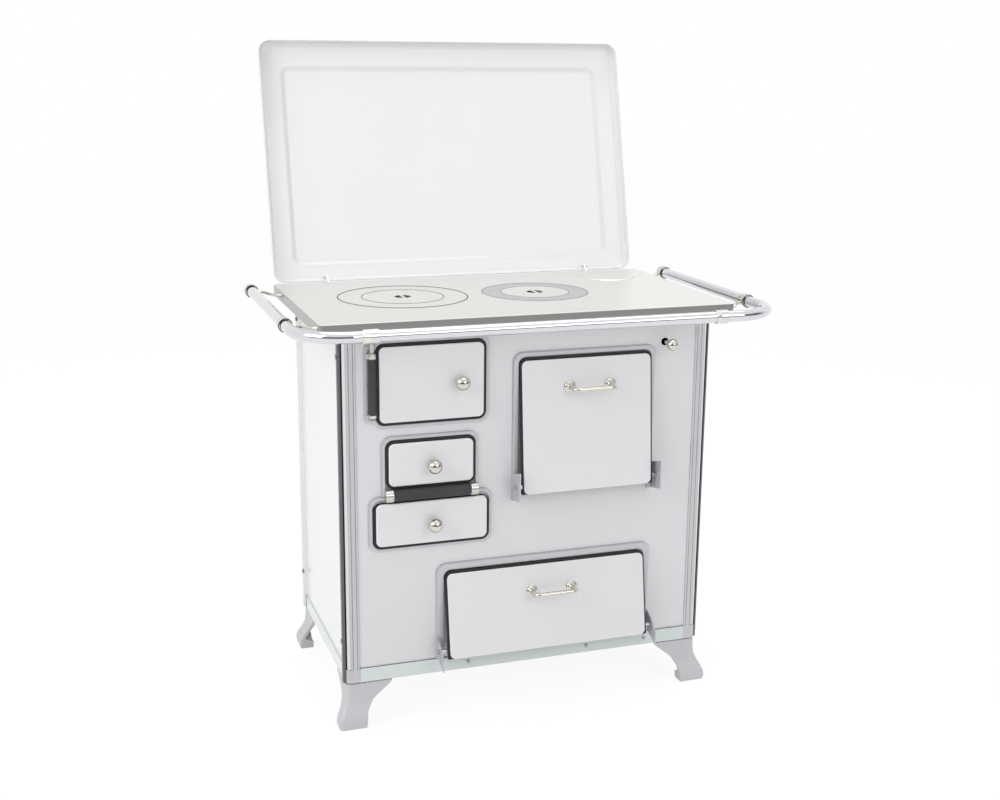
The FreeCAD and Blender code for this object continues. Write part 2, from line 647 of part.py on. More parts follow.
def base_tray():
    """Floor of the casing with a lip that stands in front of the panels between the posts."""
    clear = "half - post_leg - seam_gap"
    height = ("leg_height", "leg_height + strip_height")
    floor = block("tray_floor", ("-inner_side", "inner_side"), ("inner_front", "inner_back"),
                  ("leg_height", "floor_top"))
    pieces = [floor]
    depth = ("front + post_leg + seam_gap", "back - post_leg - seam_gap")
    spans = {
        "front": ((f"-({clear})", clear), ("front - strip_proud", "front"), "front", "inner_front"),
        "back": ((f"-({clear})", clear), ("back", "back + strip_proud"), "inner_back", "back"),
    }
    for side, (wide, deep, low, high) in spans.items():
        pieces.append(block(f"tray_{side}_lip", wide, deep, height))
        pieces.append(block(f"tray_{side}_foot", wide, (low, high), ("leg_height", "floor_top")))
    outer = "side_face + strip_proud"
    for side, wide, foot in (("left", (f"-({outer})", "-side_face"), ("-side_face", "-inner_side")),
                             ("right", ("side_face", outer), ("inner_side", "side_face"))):
        pieces.append(block(f"tray_{side}_lip", wide, depth, height))
        pieces.append(block(f"tray_{side}_foot", foot, depth, ("leg_height", "floor_top")))
    tray = fuse("tray_whole", *pieces)
    holes = [bar(f"tray_bolt_hole_{number}", "z", "bolt_reach", spot,
                 "leg_height - past", "floor_top + past")
             for number, spot in enumerate(bolt_spots(), 1)]
    holes += [bar(f"tray_screw_hole_{number}", "y", "screw_reach", (x, "strip_screw_z"),
                  "front - strip_proud - past", "front")
              for number, x in enumerate(STRIP_SCREWS, 1)]
    return cut("base_tray", tray, *holes)


STRIP_SCREWS = ("-strip_screw_left", "strip_screw_right", "strip_screw_far")


def bolt_spots():
    """The four leg bolts, as places in X and Y."""
    spots = []
    for x in ("-(half - bolt_inset)", "half - bolt_inset"):
        for y in ("front + bolt_inset", "back - bolt_inset"):
            spots.append((x, y))
    return spots


def front_panel():
    """Front sheet with an opening for each door, the drawer and the damper rod."""
    body = new_body("front_panel")
    sketch = sketch_on(body, "XZ", "-inner_front")
    draw_rectangle(sketch, ("post_round - half", "half - post_round"), ("floor_top", "hob_under"))
    pad(body, sketch, "sheet")
    openings = sketch_on(body, "XZ", "-inner_front")
    draw_rectangle(openings, ("fire_left + opening_inset", "fire_right - opening_inset"),
                   ("fire_low + opening_inset", "fire_high - opening_inset"))
    draw_rectangle(openings, ("air_left + opening_inset", "air_right - opening_inset"),
                   ("air_low + opening_inset", "air_high - opening_inset"))
    draw_rectangle(openings, ("tray_left - tray_clear", "tray_right + tray_clear"),
                   ("tray_low - tray_clear", "tray_high + tray_clear"))
    for kind in ("oven", "wood"):
        reach = f"{kind}_inner_half + {kind}_wall"
        draw_rectangle(openings, (f"{kind}_x - ({reach})", f"{kind}_x + {reach}"),
                       (f"{kind}_low - {kind}_wall", f"{kind}_high + {kind}_wall"))
    draw_circle(openings, "damper_x", "damper_z", "damper_hole")
    pocket(body, openings, "sheet")
    return body


def side_panel(name, low, high):
    return block(name, (low, high), ("front - sheet + post_round", "back + sheet - post_round"),
                 ("floor_top", "hob_under"))


def back_panel():
    return block("back_panel", ("post_round - half", "half - post_round"), ("inner_back", "back"),
                 ("floor_top", "hob_under"))


def corner_post(name, side, end):
    """Angle round a corner of the casing: side is -1 or 1 across, end -1 in front and 1 behind."""
    edge = "front - sheet" if end < 0 else "back + sheet"
    inner = "front" if end < 0 else "back"
    reach = "front - sheet + post_leg" if end < 0 else "back + sheet - post_leg"
    body = new_body(name + "_angle")
    sketch = sketch_on(body, "XY", "leg_height")
    draw_outline(sketch, [
        (f"{side} * half", edge),
        (f"{side} * (half - post_leg)", edge),
        (f"{side} * (half - post_leg)", inner),
        (f"{side} * side_face", inner),
        (f"{side} * side_face", reach),
        (f"{side} * half", reach),
    ])
    pad(body, sketch, "hob_under - leg_height")
    hollow = (side * value("side_face"), value(inner))
    corner = (side * value("half"), value(inner) + end * value("sheet"))
    for reach, (x, y) in (("post_round - sheet", hollow), ("post_round", corner)):
        round_edges(body, reach,
                    lambda edge: runs_along(edge, "z") and lies_at(edge, "x", x) and lies_at(edge, "y", y))
    low, high = ("-half - past", "-side_face + past") if side < 0 else ("side_face - past", "half + past")
    holes = [bar(f"{name}_hole_{number}", "x", "screw_reach", (post_screw_y(end), level), low, high)
             for number, level in enumerate(("post_screw_low", "post_screw_high"), 1)]
    return cut(name, body, *holes)


def post_screw_y(end):
    return "front + post_screw_inset" if end < 0 else "back - post_screw_inset"


def screw(name, along, across, face, outward):
    """A pan-head screw whose head lies on a face and whose shank stays in one sheet."""
    if outward > 0:
        head = taper(name + "_head", along, "screw_head", "screw_crown", across, face,
                     f"{face} + screw_head_thick")
        shank = bar(name + "_shank", along, "screw_reach", across, f"{face} - sheet", face)
    else:
        head = taper(name + "_head", along, "screw_crown", "screw_head", across,
                     f"{face} - screw_head_thick", face)
        shank = bar(name + "_shank", along, "screw_reach", across, face, f"{face} + sheet")
    return fuse(name, head, shank)


def casing_screws():
    """Two screws in each post's side and three in the front lip, each a solid of its own."""
    screws = []
    for side in (-1, 1):
        face = "-half" if side < 0 else "half"
        for end in (-1, 1):
            for level in ("post_screw_low", "post_screw_high"):
                name = f"post_screw_{len(screws) + 1}"
                screws.append(screw(name, "x", (post_screw_y(end), level), face, side))
    for x in STRIP_SCREWS:
        name = f"strip_screw_{len(screws) + 1}"
        screws.append(screw(name, "y", (x, "strip_screw_z"), "front - strip_proud", -1))
    return group("casing_screws", *screws)


# Legs.

def leg_outline(shell):
    """Outline of a leg's wing: distance inward from the casing's corner, and height."""
    tall = value("leg_height") - value("leg_flange")
    outer = [(-value("leg_toe") + value("leg_toe_in"), 0),
             (-value("leg_toe"), value("leg_toe_up")),
             (-value("leg_instep_out"), value("leg_instep_up")),
             (-value("leg_shin_out"), value("leg_shin_up")),
             (0, tall)]
    tip = value("leg_reach") - value("leg_tip_in")
    inner = [(tip, tall - value("leg_tip_drop")), (value("leg_arch"), value("leg_arch_up")),
             (value("leg_calf"), value("leg_calf_up")), (value("leg_ankle"), 0)]
    left = Part.BSplineCurve()
    left.interpolate([Vector(across + shell, 0, up) for across, up in outer])
    right = Part.BSplineCurve()
    right.interpolate([Vector(across, 0, up) for across, up in inner])
    corner = Vector(value("leg_reach"), 0, tall)
    edges = [left.toShape(), Part.makeLine(left.EndPoint, corner), Part.makeLine(corner, right.StartPoint),
             right.toShape(), Part.makeLine(right.EndPoint, left.StartPoint)]
    return Part.Face(Part.Wire(edges))


def wing(shell, low):
    """The solid that both side views of the leg share, from a height upward."""
    face = leg_outline(shell)
    span = value("leg_reach") + 2 * value("leg_toe") + shell
    across = face.extrude(Vector(0, span, 0))
    across.translate(Vector(0, -value("leg_toe") - value("past"), 0))
    turned = across.copy()
    turned.rotate(Vector(), Vector(0, 0, 1), 90)
    turned = turned.mirror(Vector(), Vector(1, 0, 0))
    solid = across.common(turned)
    if low > 0:
        corner = Vector(-span + shell, -span + shell, low)
        top = Part.makeBox(2 * span, 2 * span, value("leg_height"), corner)
        solid = solid.common(top)
    return solid


def leg(name, side, end):
    """Cast bracket leg: two wings round a hollow, a solid foot and a plate on top."""
    wall = value("leg_wall")
    tall = value("leg_height")
    flange = value("leg_flange")
    span = value("leg_reach") + value("leg_flange_over")
    inward = wall + value("leg_pocket_in")
    pocket_low = value("leg_sole") + value("leg_pocket_up")
    hollow = wing(wall, value("leg_sole")).fuse(
        Part.makeBox(span, span, tall, Vector(inward, inward, pocket_low)))
    start = value("leg_plate_in")
    plate = Part.makeBox(span - start, span - start, flange, Vector(start, start, tall - flange))
    inset = value("bolt_inset")
    hole = Part.makeCylinder(value("bolt_reach"), flange * 4, Vector(inset, inset, tall - 2 * flange))
    shape = wing(0, 0).cut(hollow).fuse(plate).removeSplitter().cut(hole)
    if side > 0:
        shape = shape.mirror(Vector(), Vector(1, 0, 0))
    if end > 0:
        shape = shape.mirror(Vector(), Vector(0, 1, 0))
    made = document.addObject("Part::Feature", name)
    made.Shape = shape.Solids[0]
    edge = value("front") if end < 0 else value("back")
    made.Placement = Placement(Vector(side * value("half"), edge, 0), Rotation())
    return made


def leg_bolts():
    """One bolt up through each leg's top plate and the tray."""
    bolts = []
    for number, spot in enumerate(bolt_spots(), 1):
        under = "leg_height - leg_flange"
        head = bar(f"bolt_head_{number}", "z", "bolt_head", spot, f"{under} - bolt_head_thick", under)
        shank = bar(f"bolt_shank_{number}", "z", "bolt_reach", spot, under, "floor_top + bolt_reach")
        bolts.append(fuse(f"leg_bolt_{number}", head, shank))
    return group("leg_bolts", *bolts)


# The hob.

def hob_plate():
    """Cast hob with a turned-down edge and a stepped hole for each ring and the flue."""
    body = new_body("hob_plate")
    sketch = sketch_on(body, "XY", "hob_low")
    draw_rectangle(sketch, ("-hob_width / 2", "hob_width / 2"), ("hob_front_edge", "hob_back_edge"))
    pad(body, sketch, "hob_skirt")
    round_edges(body, "hob_corner", lambda edge: runs_along(edge, "z"))
    top = value("hob_height")
    round_edges(body, "sheet", lambda edge: lies_at(edge, "z", top))
    under = sketch_on(body, "XY", "hob_low")
    draw_rectangle(under, ("-hob_width / 2 + skirt_thick", "hob_width / 2 - skirt_thick"),
                   ("hob_front_edge + skirt_thick", "hob_back_edge - skirt_thick"))
    pocket(body, under, "hob_skirt - hob_thick", against=False)
    seats = sketch_on(body, "XY", "hob_height - seat_depth")
    holes = sketch_on(body, "XY", "hob_under")
    for name in ("left_ring", "right_ring", "flue"):
        spot = (name + "_x", "front + " + name + "_y")
        draw_circle(seats, *spot, name + "_reach + ring_gap")
        draw_circle(holes, *spot, name + "_reach - seat_step")
    pocket(body, seats, "seat_depth")
    pocket(body, holes, "hob_thick")
    return body


def ring(name, reach, inner):
    """Loose ring with a step on its rim and another for the disc inside it."""
    body = new_body(name)
    spin(body, [
        (f"{reach}", "hob_height"),
        (f"{reach}", "hob_height - seat_depth"),
        (f"{reach} - seat_step - ring_gap", "hob_height - seat_depth"),
        (f"{reach} - seat_step - ring_gap", "hob_under"),
        (f"{inner} - seat_step", "hob_under"),
        (f"{inner} - seat_step", "hob_height - seat_depth"),
        (f"{inner} + ring_gap", "hob_height - seat_depth"),
        (f"{inner} + ring_gap", "hob_height"),
    ])
    bind(body, "Placement.Base.x", name + "_x")
    bind(body, "Placement.Base.y", "front + " + name + "_y")
    return body


def disc(name, ring_name, reach):
    """Round plug of a ring, with two half-moon lifter holes and a bar between them."""
    body = new_body(name + "_plug")
    spin(body, [
        ("0", "hob_height"),
        (reach, "hob_height"),
        (reach, "hob_height - seat_depth"),
        (f"{reach} - seat_step - ring_gap", "hob_height - seat_depth"),
        (f"{reach} - seat_step - ring_gap", "hob_under"),
        ("0", "hob_under"),
    ])
    well = bar(name + "_well", "z", "lifter_reach", ("0", "0"), "hob_under - past", "hob_height + past")
    bridge = block(name + "_bridge", ("-lifter_bridge / 2", "lifter_bridge / 2"),
                   ("-lifter_reach - past", "lifter_reach + past"),
                   ("hob_under - 2 * past", "hob_height + 2 * past"))
    moons = cut(name + "_moons", well, bridge)
    made = cut(name, body, moons)
    bind(made, "Placement.Base.x", ring_name + "_x")
    bind(made, "Placement.Base.y", "front + " + ring_name + "_y")
    return made


def flue_cover():
    body = new_body("flue_cover")
    spin(body, [
        ("0", "hob_height + flue_crown"),
        ("flue_reach - flue_slope", "hob_height + flue_crown"),
        ("flue_reach", "hob_height"),
        ("flue_reach", "hob_height - seat_depth"),
        ("flue_reach - seat_step - ring_gap", "hob_height - seat_depth"),
        ("flue_reach - seat_step - ring_gap", "hob_under"),
        ("0", "hob_under"),
    ])
    bind(body, "Placement.Base.x", "flue_x")
    bind(body, "Placement.Base.y", "front + flue_y")
    return body


# The lid, drawn shut and flat about its hinge pin, then turned open.

def lid():
    body = new_body("lid_pan")
    sketch = sketch_on(body, "XY", "lid_low")
    draw_rectangle(sketch, ("-lid_width / 2", "lid_width / 2"), ("lid_free", "hinge_tail"))
    pad(body, sketch, "lid_depth")
    round_edges(body, "lid_corner", lambda edge: runs_along(edge, "z"))
    top = value("lid_top")
    round_edges(body, "lid_edge_round", lambda edge: lies_at(edge, "z", top))
    base = body.Tip
    low = value("lid_low")
    open_faces = ["Face" + str(place) for place, face in enumerate(base.Shape.Faces, 1)
                  if abs(face.BoundBox.ZMax - low) < 0.01]
    shell = body.newObject("PartDesign::Thickness", "lid_shell")
    shell.Base = (base, open_faces)
    shell.Reversed = True
    bind(shell, "Value", "lid_sheet")
    document.recompute()
    raise_panel(body, "PartDesign::AdditiveLoft", "lid_top - lid_sheet / 2", "lid_top + panel_rise", "0")
    raise_panel(body, "PartDesign::SubtractiveLoft", "lid_top - lid_sheet",
                "lid_top + panel_rise - lid_sheet", "lid_sheet")
    return finish_lid(body)


def raise_panel(body, kind, low, high, inset):
    """The raised panel, or the hollow behind it, as a low slab with sloping sides."""
    sections = []
    for level, slope in ((low, inset), (high, f"{inset} + panel_slope")):
        sketch = sketch_on(body, "XY", level)
        reach = f"(lid_width / 2 - lid_side_border - ({slope}))"
        draw_rectangle(sketch, ("-" + reach, reach),
                       (f"lid_free + lid_front_border + {slope}",
                        f"hinge_tail - lid_rear_border - ({slope})"))
        sections.append(sketch)
    made = body.newObject(kind, body.Name + "_loft" + str(len(body.Group)))
    made.Profile = sections[0]
    made.Sections = [sections[1]]
    document.recompute()
    return made


def finish_lid(pan):
    """Weld a strap by each hinge, notch the rim for the fixed ears and bore the straps."""
    straps = []
    cuts = []
    for side in (-1, 1):
        name = "lid_left" if side < 0 else "lid_right"
        near = f"{side} * (hinge_spread + hinge_plate / 2 + seam_gap)"
        far = f"{side} * (hinge_spread + hinge_plate / 2 + seam_gap + hinge_plate)"
        wide = (far, near) if side < 0 else (near, far)
        straps.append(block(name + "_strap", wide, ("-3 * hinge_round", "hinge_round"),
                            ("lid_low", "lid_top - lid_sheet")))
        ear = ("hinge_spread - hinge_plate", "hinge_spread + hinge_plate / 2 + seam_gap")
        if side < 0:
            ear = (f"-({ear[1]})", f"-({ear[0]})")
        cuts.append(block(name + "_notch", ear, ("hinge_round", "hinge_tail + past"),
                          ("lid_low - past", "lid_low + 2 * hinge_round")))
        cuts.append(bar(name + "_bore", "x", "hinge_pin_reach + pin_fit", ("0", "0"),
                        f"{wide[0]} - past", f"{wide[1]} + past"))
    made = cut("lid", fuse("lid_whole", pan, *straps), *cuts)
    return lean(made, "pin_y", "pin_z", "-lid_open")


def lid_hinges():
    """Fixed hinge ears, each on a pad against the hob's rear edge."""
    hinges = []
    for side in (-1, 1):
        name = "left_hinge" if side < 0 else "right_hinge"
        middle = f"{side} * hinge_spread"
        ear = new_body(name + "_ear")
        sketch = sketch_on(ear, "YZ", f"{middle} - hinge_plate / 2")
        draw_outline(sketch, [
            ("hob_back_edge", "hob_low + sheet"),
            ("pin_y - hinge_round", "hob_low + 2 * sheet"),
            ("pin_y + eye_side", "pin_z - hinge_round / 2"),
            ("pin_y - eye_shoulder", "pin_z + eye_shoulder"),
            ("hob_back_edge", "hob_height - sheet"),
        ])
        pad(ear, sketch, "hinge_plate")
        eye = bar(name + "_eye", "x", "hinge_round", ("pin_y", "pin_z"),
                  f"{middle} - hinge_plate / 2", f"{middle} + hinge_plate / 2")
        foot = block(name + "_foot", (f"{middle} - 3 * hinge_plate", f"{middle} + 3 * hinge_plate"),
                     ("hob_back_edge", "hob_back_edge + hinge_plate"),
                     ("hob_low + sheet", "hob_height - 2 * sheet"))
        bore = bar(name + "_bore", "x", "hinge_pin_reach", ("pin_y", "pin_z"),
                   f"{middle} - hinge_plate", f"{middle} + hinge_plate")
        hinges.append(cut(name, fuse(name + "_whole", ear, eye, foot), bore))
    return group("lid_hinges", *hinges)


# The handrail.

def tube(name, along, across, low, high):
    outer = bar(name + "_outer", along, "rail_reach", across, low, high)
    inner = bar(name + "_inner", along, "rail_reach - rail_wall", across, low, high)
    return cut(name, outer, inner)


def front_rail():
    return tube("front_rail", "x", ("rail_y", "rail_height"), "-front_joint_x", "front_joint_x")


def side_rails():
    rails = [tube(f"side_rail_{number}", "y", (x, "rail_height"), "side_joint_y", "rail_back")
             for number, x in enumerate(("-rail_spread", "rail_spread"), 1)]
    return group("side_rails", *rails)


def bend(name, reach, side):
    """Quarter of a torus in the rail's level plane, round the front corner."""
    made = document.addObject("Part::Torus", name)
    bind(made, "Radius1", "bend_reach")
    bind(made, "Radius2", reach)
    made.Angle3 = 90
    made.Placement = Placement(Vector(), Rotation(Vector(0, 0, 1), 180 if side < 0 else 270))
    bind(made, "Placement.Base.x", f"{side} * elbow_x")
    bind(made, "Placement.Base.y", "elbow_y")
    bind(made, "Placement.Base.z", "rail_height")
    return made


def elbow(side):
    """Corner piece: a straight socket, the bend and another straight to the side joint."""
    name = "left_elbow" if side < 0 else "right_elbow"
    wide = ("-elbow_x", "-front_joint_x") if side < 0 else ("front_joint_x", "elbow_x")
    walls = []
    for part, reach in (("outer", "rail_reach"), ("inner", "rail_reach - rail_wall")):
        across = bar(f"{name}_{part}_front", "x", reach, ("rail_y", "rail_height"), *wide)
        turn = bend(f"{name}_{part}_bend", reach, side)
        down = bar(f"{name}_{part}_side", "y", reach, (f"{side} * rail_spread", "rail_height"),
                   "elbow_y", "side_joint_y")
        walls.append(fuse(f"{name}_{part}", across, turn, down))
    middle = f"{side} * front_joint_x"
    band = bar(name + "_band", "x", "collar_reach", ("rail_y", "rail_height"),
               f"{middle} - collar_length / 2", f"{middle} + collar_length / 2")
    bore = bar(name + "_band_bore", "x", "rail_reach", ("rail_y", "rail_height"),
               f"{middle} - collar_length", f"{middle} + collar_length")
    return fuse(name, cut(name + "_pipe", walls[0], walls[1]), cut(name + "_ring", band, bore))


def rail_elbows():
    return group("rail_elbows", elbow(-1), elbow(1))


def rail_bracket(side, rear):
    """Collar round a side rail and a rod from it to the edge of the hob."""
    name = f"bracket_{'left' if side < 0 else 'right'}_{'rear' if rear else 'front'}"
    x = f"{side} * rail_spread"
    low = "rail_back - collar_length" if rear else "side_joint_y - collar_length / 2"
    high = "rail_back" if rear else "side_joint_y + collar_length / 2"
    collar = bar(name + "_collar", "y", "collar_reach", (x, "rail_height"), low, high)
    bore = bar(name + "_bore", "y", "rail_reach", (x, "rail_height"), f"{low} - past", f"{high} + past")
    near = f"{side} * (rail_spread - (rail_reach + collar_reach) / 2)"
    bend_near = f"{side} * (rail_spread - (rail_reach + collar_reach) / 2 - arm_start"
    far = f"{side} * (hob_width / 2 + seam_gap)"
    bend_far = f"{side} * (hob_width / 2 + arm_end"
    begin = f"({low} + {high}) / 2"
    end = begin + (" - rear_arm_shift" if rear else " - front_arm_shift")
    rod = new_body(name + "_rod")
    sketch = sketch_on(rod, "XY", "rail_height - 2 * arm_reach")
    draw_outline(sketch, [
        (near, begin + " + arm_reach"), (bend_near + " - arm_miter)", begin + " + arm_reach"),
        (bend_far + " - arm_miter)", end + " + arm_reach"), (far, end + " + arm_reach"),
        (far, end + " - arm_reach"), (bend_far + " + arm_miter)", end + " - arm_reach"),
        (bend_near + " + arm_miter)", begin + " - arm_reach"), (near, begin + " - arm_reach"),
    ])
    pad(rod, sketch, "2 * arm_reach")
    round_edges(rod, "arm_round", lambda edge: not runs_along(edge, "y") and not runs_along(edge, "z"))
    return fuse(name, cut(name + "_ring", collar, bore), rod)


def rail_brackets():
    brackets = [rail_bracket(side, rear) for side in (-1, 1) for rear in (False, True)]
    return group("rail_brackets", *brackets)


# Upright doors and the drawer front.

def slab(name, wide, tall, back, thick, reach, tops_only=False):
    """Upright plate with round corners, or with only its upper corners round."""
    body = new_body(name)
    sketch = sketch_on(body, "XZ", f"-({back})")
    draw_rectangle(sketch, wide, tall)
    pad(body, sketch, thick)
    middle = body.Shape.BoundBox.Center.z if tops_only else -math.inf
    round_edges(body, reach, lambda edge: runs_along(edge, "y") and edge.BoundBox.ZMin > middle)
    return body




def cover(name, left, right, low, high):
    """Enamelled plate with round corners and a soft front edge."""
    body = slab(name, (left, right), (low, high), "cover_back", "cover_thick", "cover_round")
    face = value("cover_face")
    round_edges(body, "cover_edge", lambda edge: lies_at(edge, "y", face))
    return body


def door_plate(name, kind, top):
    """Cast plate of an upright door, seen as a dark margin round its cover."""
    return slab(name, (f"{kind}_left - cover_margin", f"{kind}_right + cover_margin"),
                (f"{kind}_low - cover_margin", top), "door_back", "door_back - cover_back",
                "cover_round + cover_margin")


def knob(name, x, z):
    """Ball knob on a short neck and a round foot."""
    foot = taper(name + "_foot", "y", "knob_neck", "knob_base", (x, z),
                 "cover_face - knob_foot", "cover_face")
    neck = bar(name + "_neck", "y", "knob_neck", (x, z), "cover_face - knob_stand",
               "cover_face - knob_foot / 2")
    head = ball(name + "_ball", "knob_reach", x, "cover_face - knob_stand", z)
    return fuse(name, foot, neck, head)


def rim_outer(name, wide, tall, tops_only=False):
    """Outside of a pressed rim: round corners and a round front edge."""
    body = slab(name, wide, tall, "front", "rim_proud", "rim_corner", tops_only)
    face = value("rim_face")
    low = body.Shape.BoundBox.ZMin
    foot = low + 1 if tops_only else low - 1
    round_edges(body, "rim_round", lambda edge: lies_at(edge, "y", face) and edge.BoundBox.ZMax > foot)
    return body


def rim_inner(name, wide, tall, corner="cover_round + cover_margin"):
    """Room inside a rim."""
    return slab(name, wide, tall, "front + past", "rim_proud + 2 * past", corner)


def fire_door_frame():
    """Rim round the door and its hinge, with a cap above and below the door's barrel."""
    left, right = "fire_left - rim_edge", "fire_right + rim_edge"
    low, high = "fire_low - rim_edge", "fire_high + rim_edge"
    recess_low = "fire_barrel_low - fire_cap_low - recess_clear"
    recess_high = "fire_barrel_high + fire_cap_high + recess_clear"
    near = "fire_barrel_x + barrel_reach"
    outer = [rim_outer("fire_rim_outer", (f"{left} - rim_wide", f"{right} + rim_wide"),
                       (f"{low} - rim_wide", f"{high} + rim_wide")),
             slab("fire_recess_outer", ("hinge_recess_left - rim_wide", near),
                  (f"{recess_low} - rim_wide", f"{recess_high} + rim_wide"), "front", "rim_proud / 2",
                  "rim_wide")]
    inner = [rim_inner("fire_rim_inner", (left, right), (low, high)),
             slab("fire_recess_inner", ("hinge_recess_left", near), (recess_low, recess_high),
                  "front + past", "rim_proud + 2 * past", "rim_wide / 2")]
    pieces = [cut("fire_rim", fuse("fire_rim_whole", *outer), *inner)]
    bores = []
    spot = ("fire_barrel_x", "barrel_y")
    spans = (("low", "fire_barrel_low - fire_cap_low", "fire_barrel_low - seam_gap"),
             ("high", "fire_barrel_high + seam_gap", "fire_barrel_high + fire_cap_high"))
    for level, cap_low, cap_high in spans:
        pieces.append(bar(f"fire_cap_{level}", "z", "barrel_reach", spot, cap_low, cap_high))
        pieces.append(block(f"fire_lug_{level}", ("hinge_recess_left - rim_wide / 2", "fire_barrel_x"),
                            ("barrel_y", "front"), (cap_low, cap_high)))
        bores.append(bar(f"fire_cap_bore_{level}", "z", "barrel_pin_reach", spot,
                         f"{cap_low} - past", f"{cap_high} + past"))
    return cut("fire_door_frame", fuse("fire_frame_whole", *pieces), *bores)


def fire_door():
    """Cast door with its barrel along the left edge."""
    plate = door_plate("fire_plate", "fire", "fire_high + cover_margin")
    span = ("fire_barrel_low", "fire_barrel_high")
    barrel = bar("fire_barrel", "z", "barrel_reach", ("fire_barrel_x", "barrel_y"), *span)
    web = block("fire_web", ("fire_barrel_x", "fire_left"), ("cover_back", "door_back - web_back"), span)
    bore = bar("fire_bore", "z", "barrel_pin_reach + pin_fit", ("fire_barrel_x", "barrel_y"),
               f"{span[0]} - past", f"{span[1]} + past")
    return cut("fire_door", fuse("fire_door_whole", plate, barrel, web), bore)


def air_collar_spans():
    """Both fixed collars of the middle door's hinge, from low to high X."""
    return (("left", "air_left - collar_out", "air_left + collar_in - seam_gap"),
            ("right", "air_right - collar_in + seam_gap", "air_right + collar_out"))


def middle_door_frame():
    """Rim over the top and sides of the flap, with a collar at each end of its barrel."""
    left, right = "air_left - rim_edge", "air_right + rim_edge"
    low, high = "ash_rim_high + rim_wide + seam_gap", "air_high + rim_edge"
    outer = rim_outer("air_rim_outer", (f"{left} - rim_wide", f"{right} + rim_wide"),
                      (low, f"{high} + rim_wide"), tops_only=True)
    inner = rim_inner("air_rim_inner", (left, right), (f"{low} - air_tall", high))
    pieces = [cut("air_rim", outer, inner)]
    bores = []
    spot = ("air_barrel_y", "air_barrel")
    for side, start, end in air_collar_spans():
        pieces.append(bar(f"air_collar_{side}", "x", "air_collar_reach", spot, start, end))
        pieces.append(block(f"air_lug_{side}", (start, end), ("air_barrel_y", "front"),
                            ("air_barrel - air_collar_reach / 2", "air_barrel + air_collar_reach / 2")))
        bores.append(bar(f"air_collar_bore_{side}", "x", "barrel_pin_reach", spot,
                         f"{start} - past", f"{end} + past"))
    return cut("middle_door_frame", fuse("air_frame_whole", *pieces), *bores)


def middle_door():
    """Cast flap with its barrel along the lower edge."""
    plate = door_plate("air_plate", "air", "air_high + cover_margin")
    start, end = "air_left + collar_in", "air_right - collar_in"
    spot = ("air_barrel_y", "air_barrel")
    barrel = bar("air_bar", "x", "air_barrel_reach", spot, start, end)
    web = block("air_web", (start, end), ("cover_back", "door_back - web_back"), ("air_barrel", "air_low"))
    bore = bar("air_bore", "x", "barrel_pin_reach + pin_fit", spot, f"{start} - past", f"{end} + past")
    return cut("middle_door", fuse("middle_door_whole", plate, barrel, web), bore)


def hinge_pins():
    """Pins of the lid's two hinges, the fire door and the middle door."""
    pins = []
    for side in (-1, 1):
        spots = (f"{side} * (hinge_spread - hinge_plate)", f"{side} * (hinge_spread + 2 * hinge_plate)")
        low, high = spots if side > 0 else spots[::-1]
        pins.append(bar(f"lid_pin_{len(pins) + 1}", "x", "hinge_pin_reach", ("pin_y", "pin_z"), low, high))
    pins.append(bar("fire_pin", "z", "barrel_pin_reach", ("fire_barrel_x", "barrel_y"),
                    "fire_barrel_low - fire_cap_low", "fire_barrel_high + fire_cap_high"))
    pins.append(bar("air_pin", "x", "barrel_pin_reach", ("air_barrel_y", "air_barrel"),
                    "air_left - collar_out", "air_right + collar_out"))
    return group("hinge_pins", *pins)


def ash_drawer_frame():
    """Rim round the drawer front, open on top where the flap's hinge lies."""
    left, right = "ash_left - rim_edge", "ash_right + rim_edge"
    low, high = "ash_low - rim_edge", "ash_rim_high"
    outer = rim_outer("ash_rim_outer", (f"{left} - rim_wide", f"{right} + rim_wide"),
                      (f"{low} - rim_wide", f"{high} + rim_wide"))
    inner = rim_inner("ash_rim_inner", (left, right), (low, high))
    hinge_room = block("ash_rim_gap",
                       ("air_left - collar_out - seam_gap", "air_right + collar_out + seam_gap"),
                       ("rim_face - past", "front + past"), ("ash_high", f"{high} + rim_wide + past"))
    return cut("ash_drawer_frame", outer, inner, hinge_room)


def ash_drawer_front():
    return door_plate("ash_drawer_front", "ash", "ash_high + seam_gap")


def ash_tray():
    """Open sheet tray that hangs on the back of the drawer front."""
    outer = block("tray_box", ("tray_left", "tray_right"), ("door_back", "tray_back"),
                  ("tray_low", "tray_high"))
    inner = block("tray_hollow", ("tray_left + tray_wall", "tray_right - tray_wall"),
                  ("door_back + tray_wall", "tray_back - tray_wall"),
                  ("tray_low + tray_wall", "tray_high + past"))
    return cut("ash_tray", outer, inner)


# Leaning doors, drawn upright about their pivots.

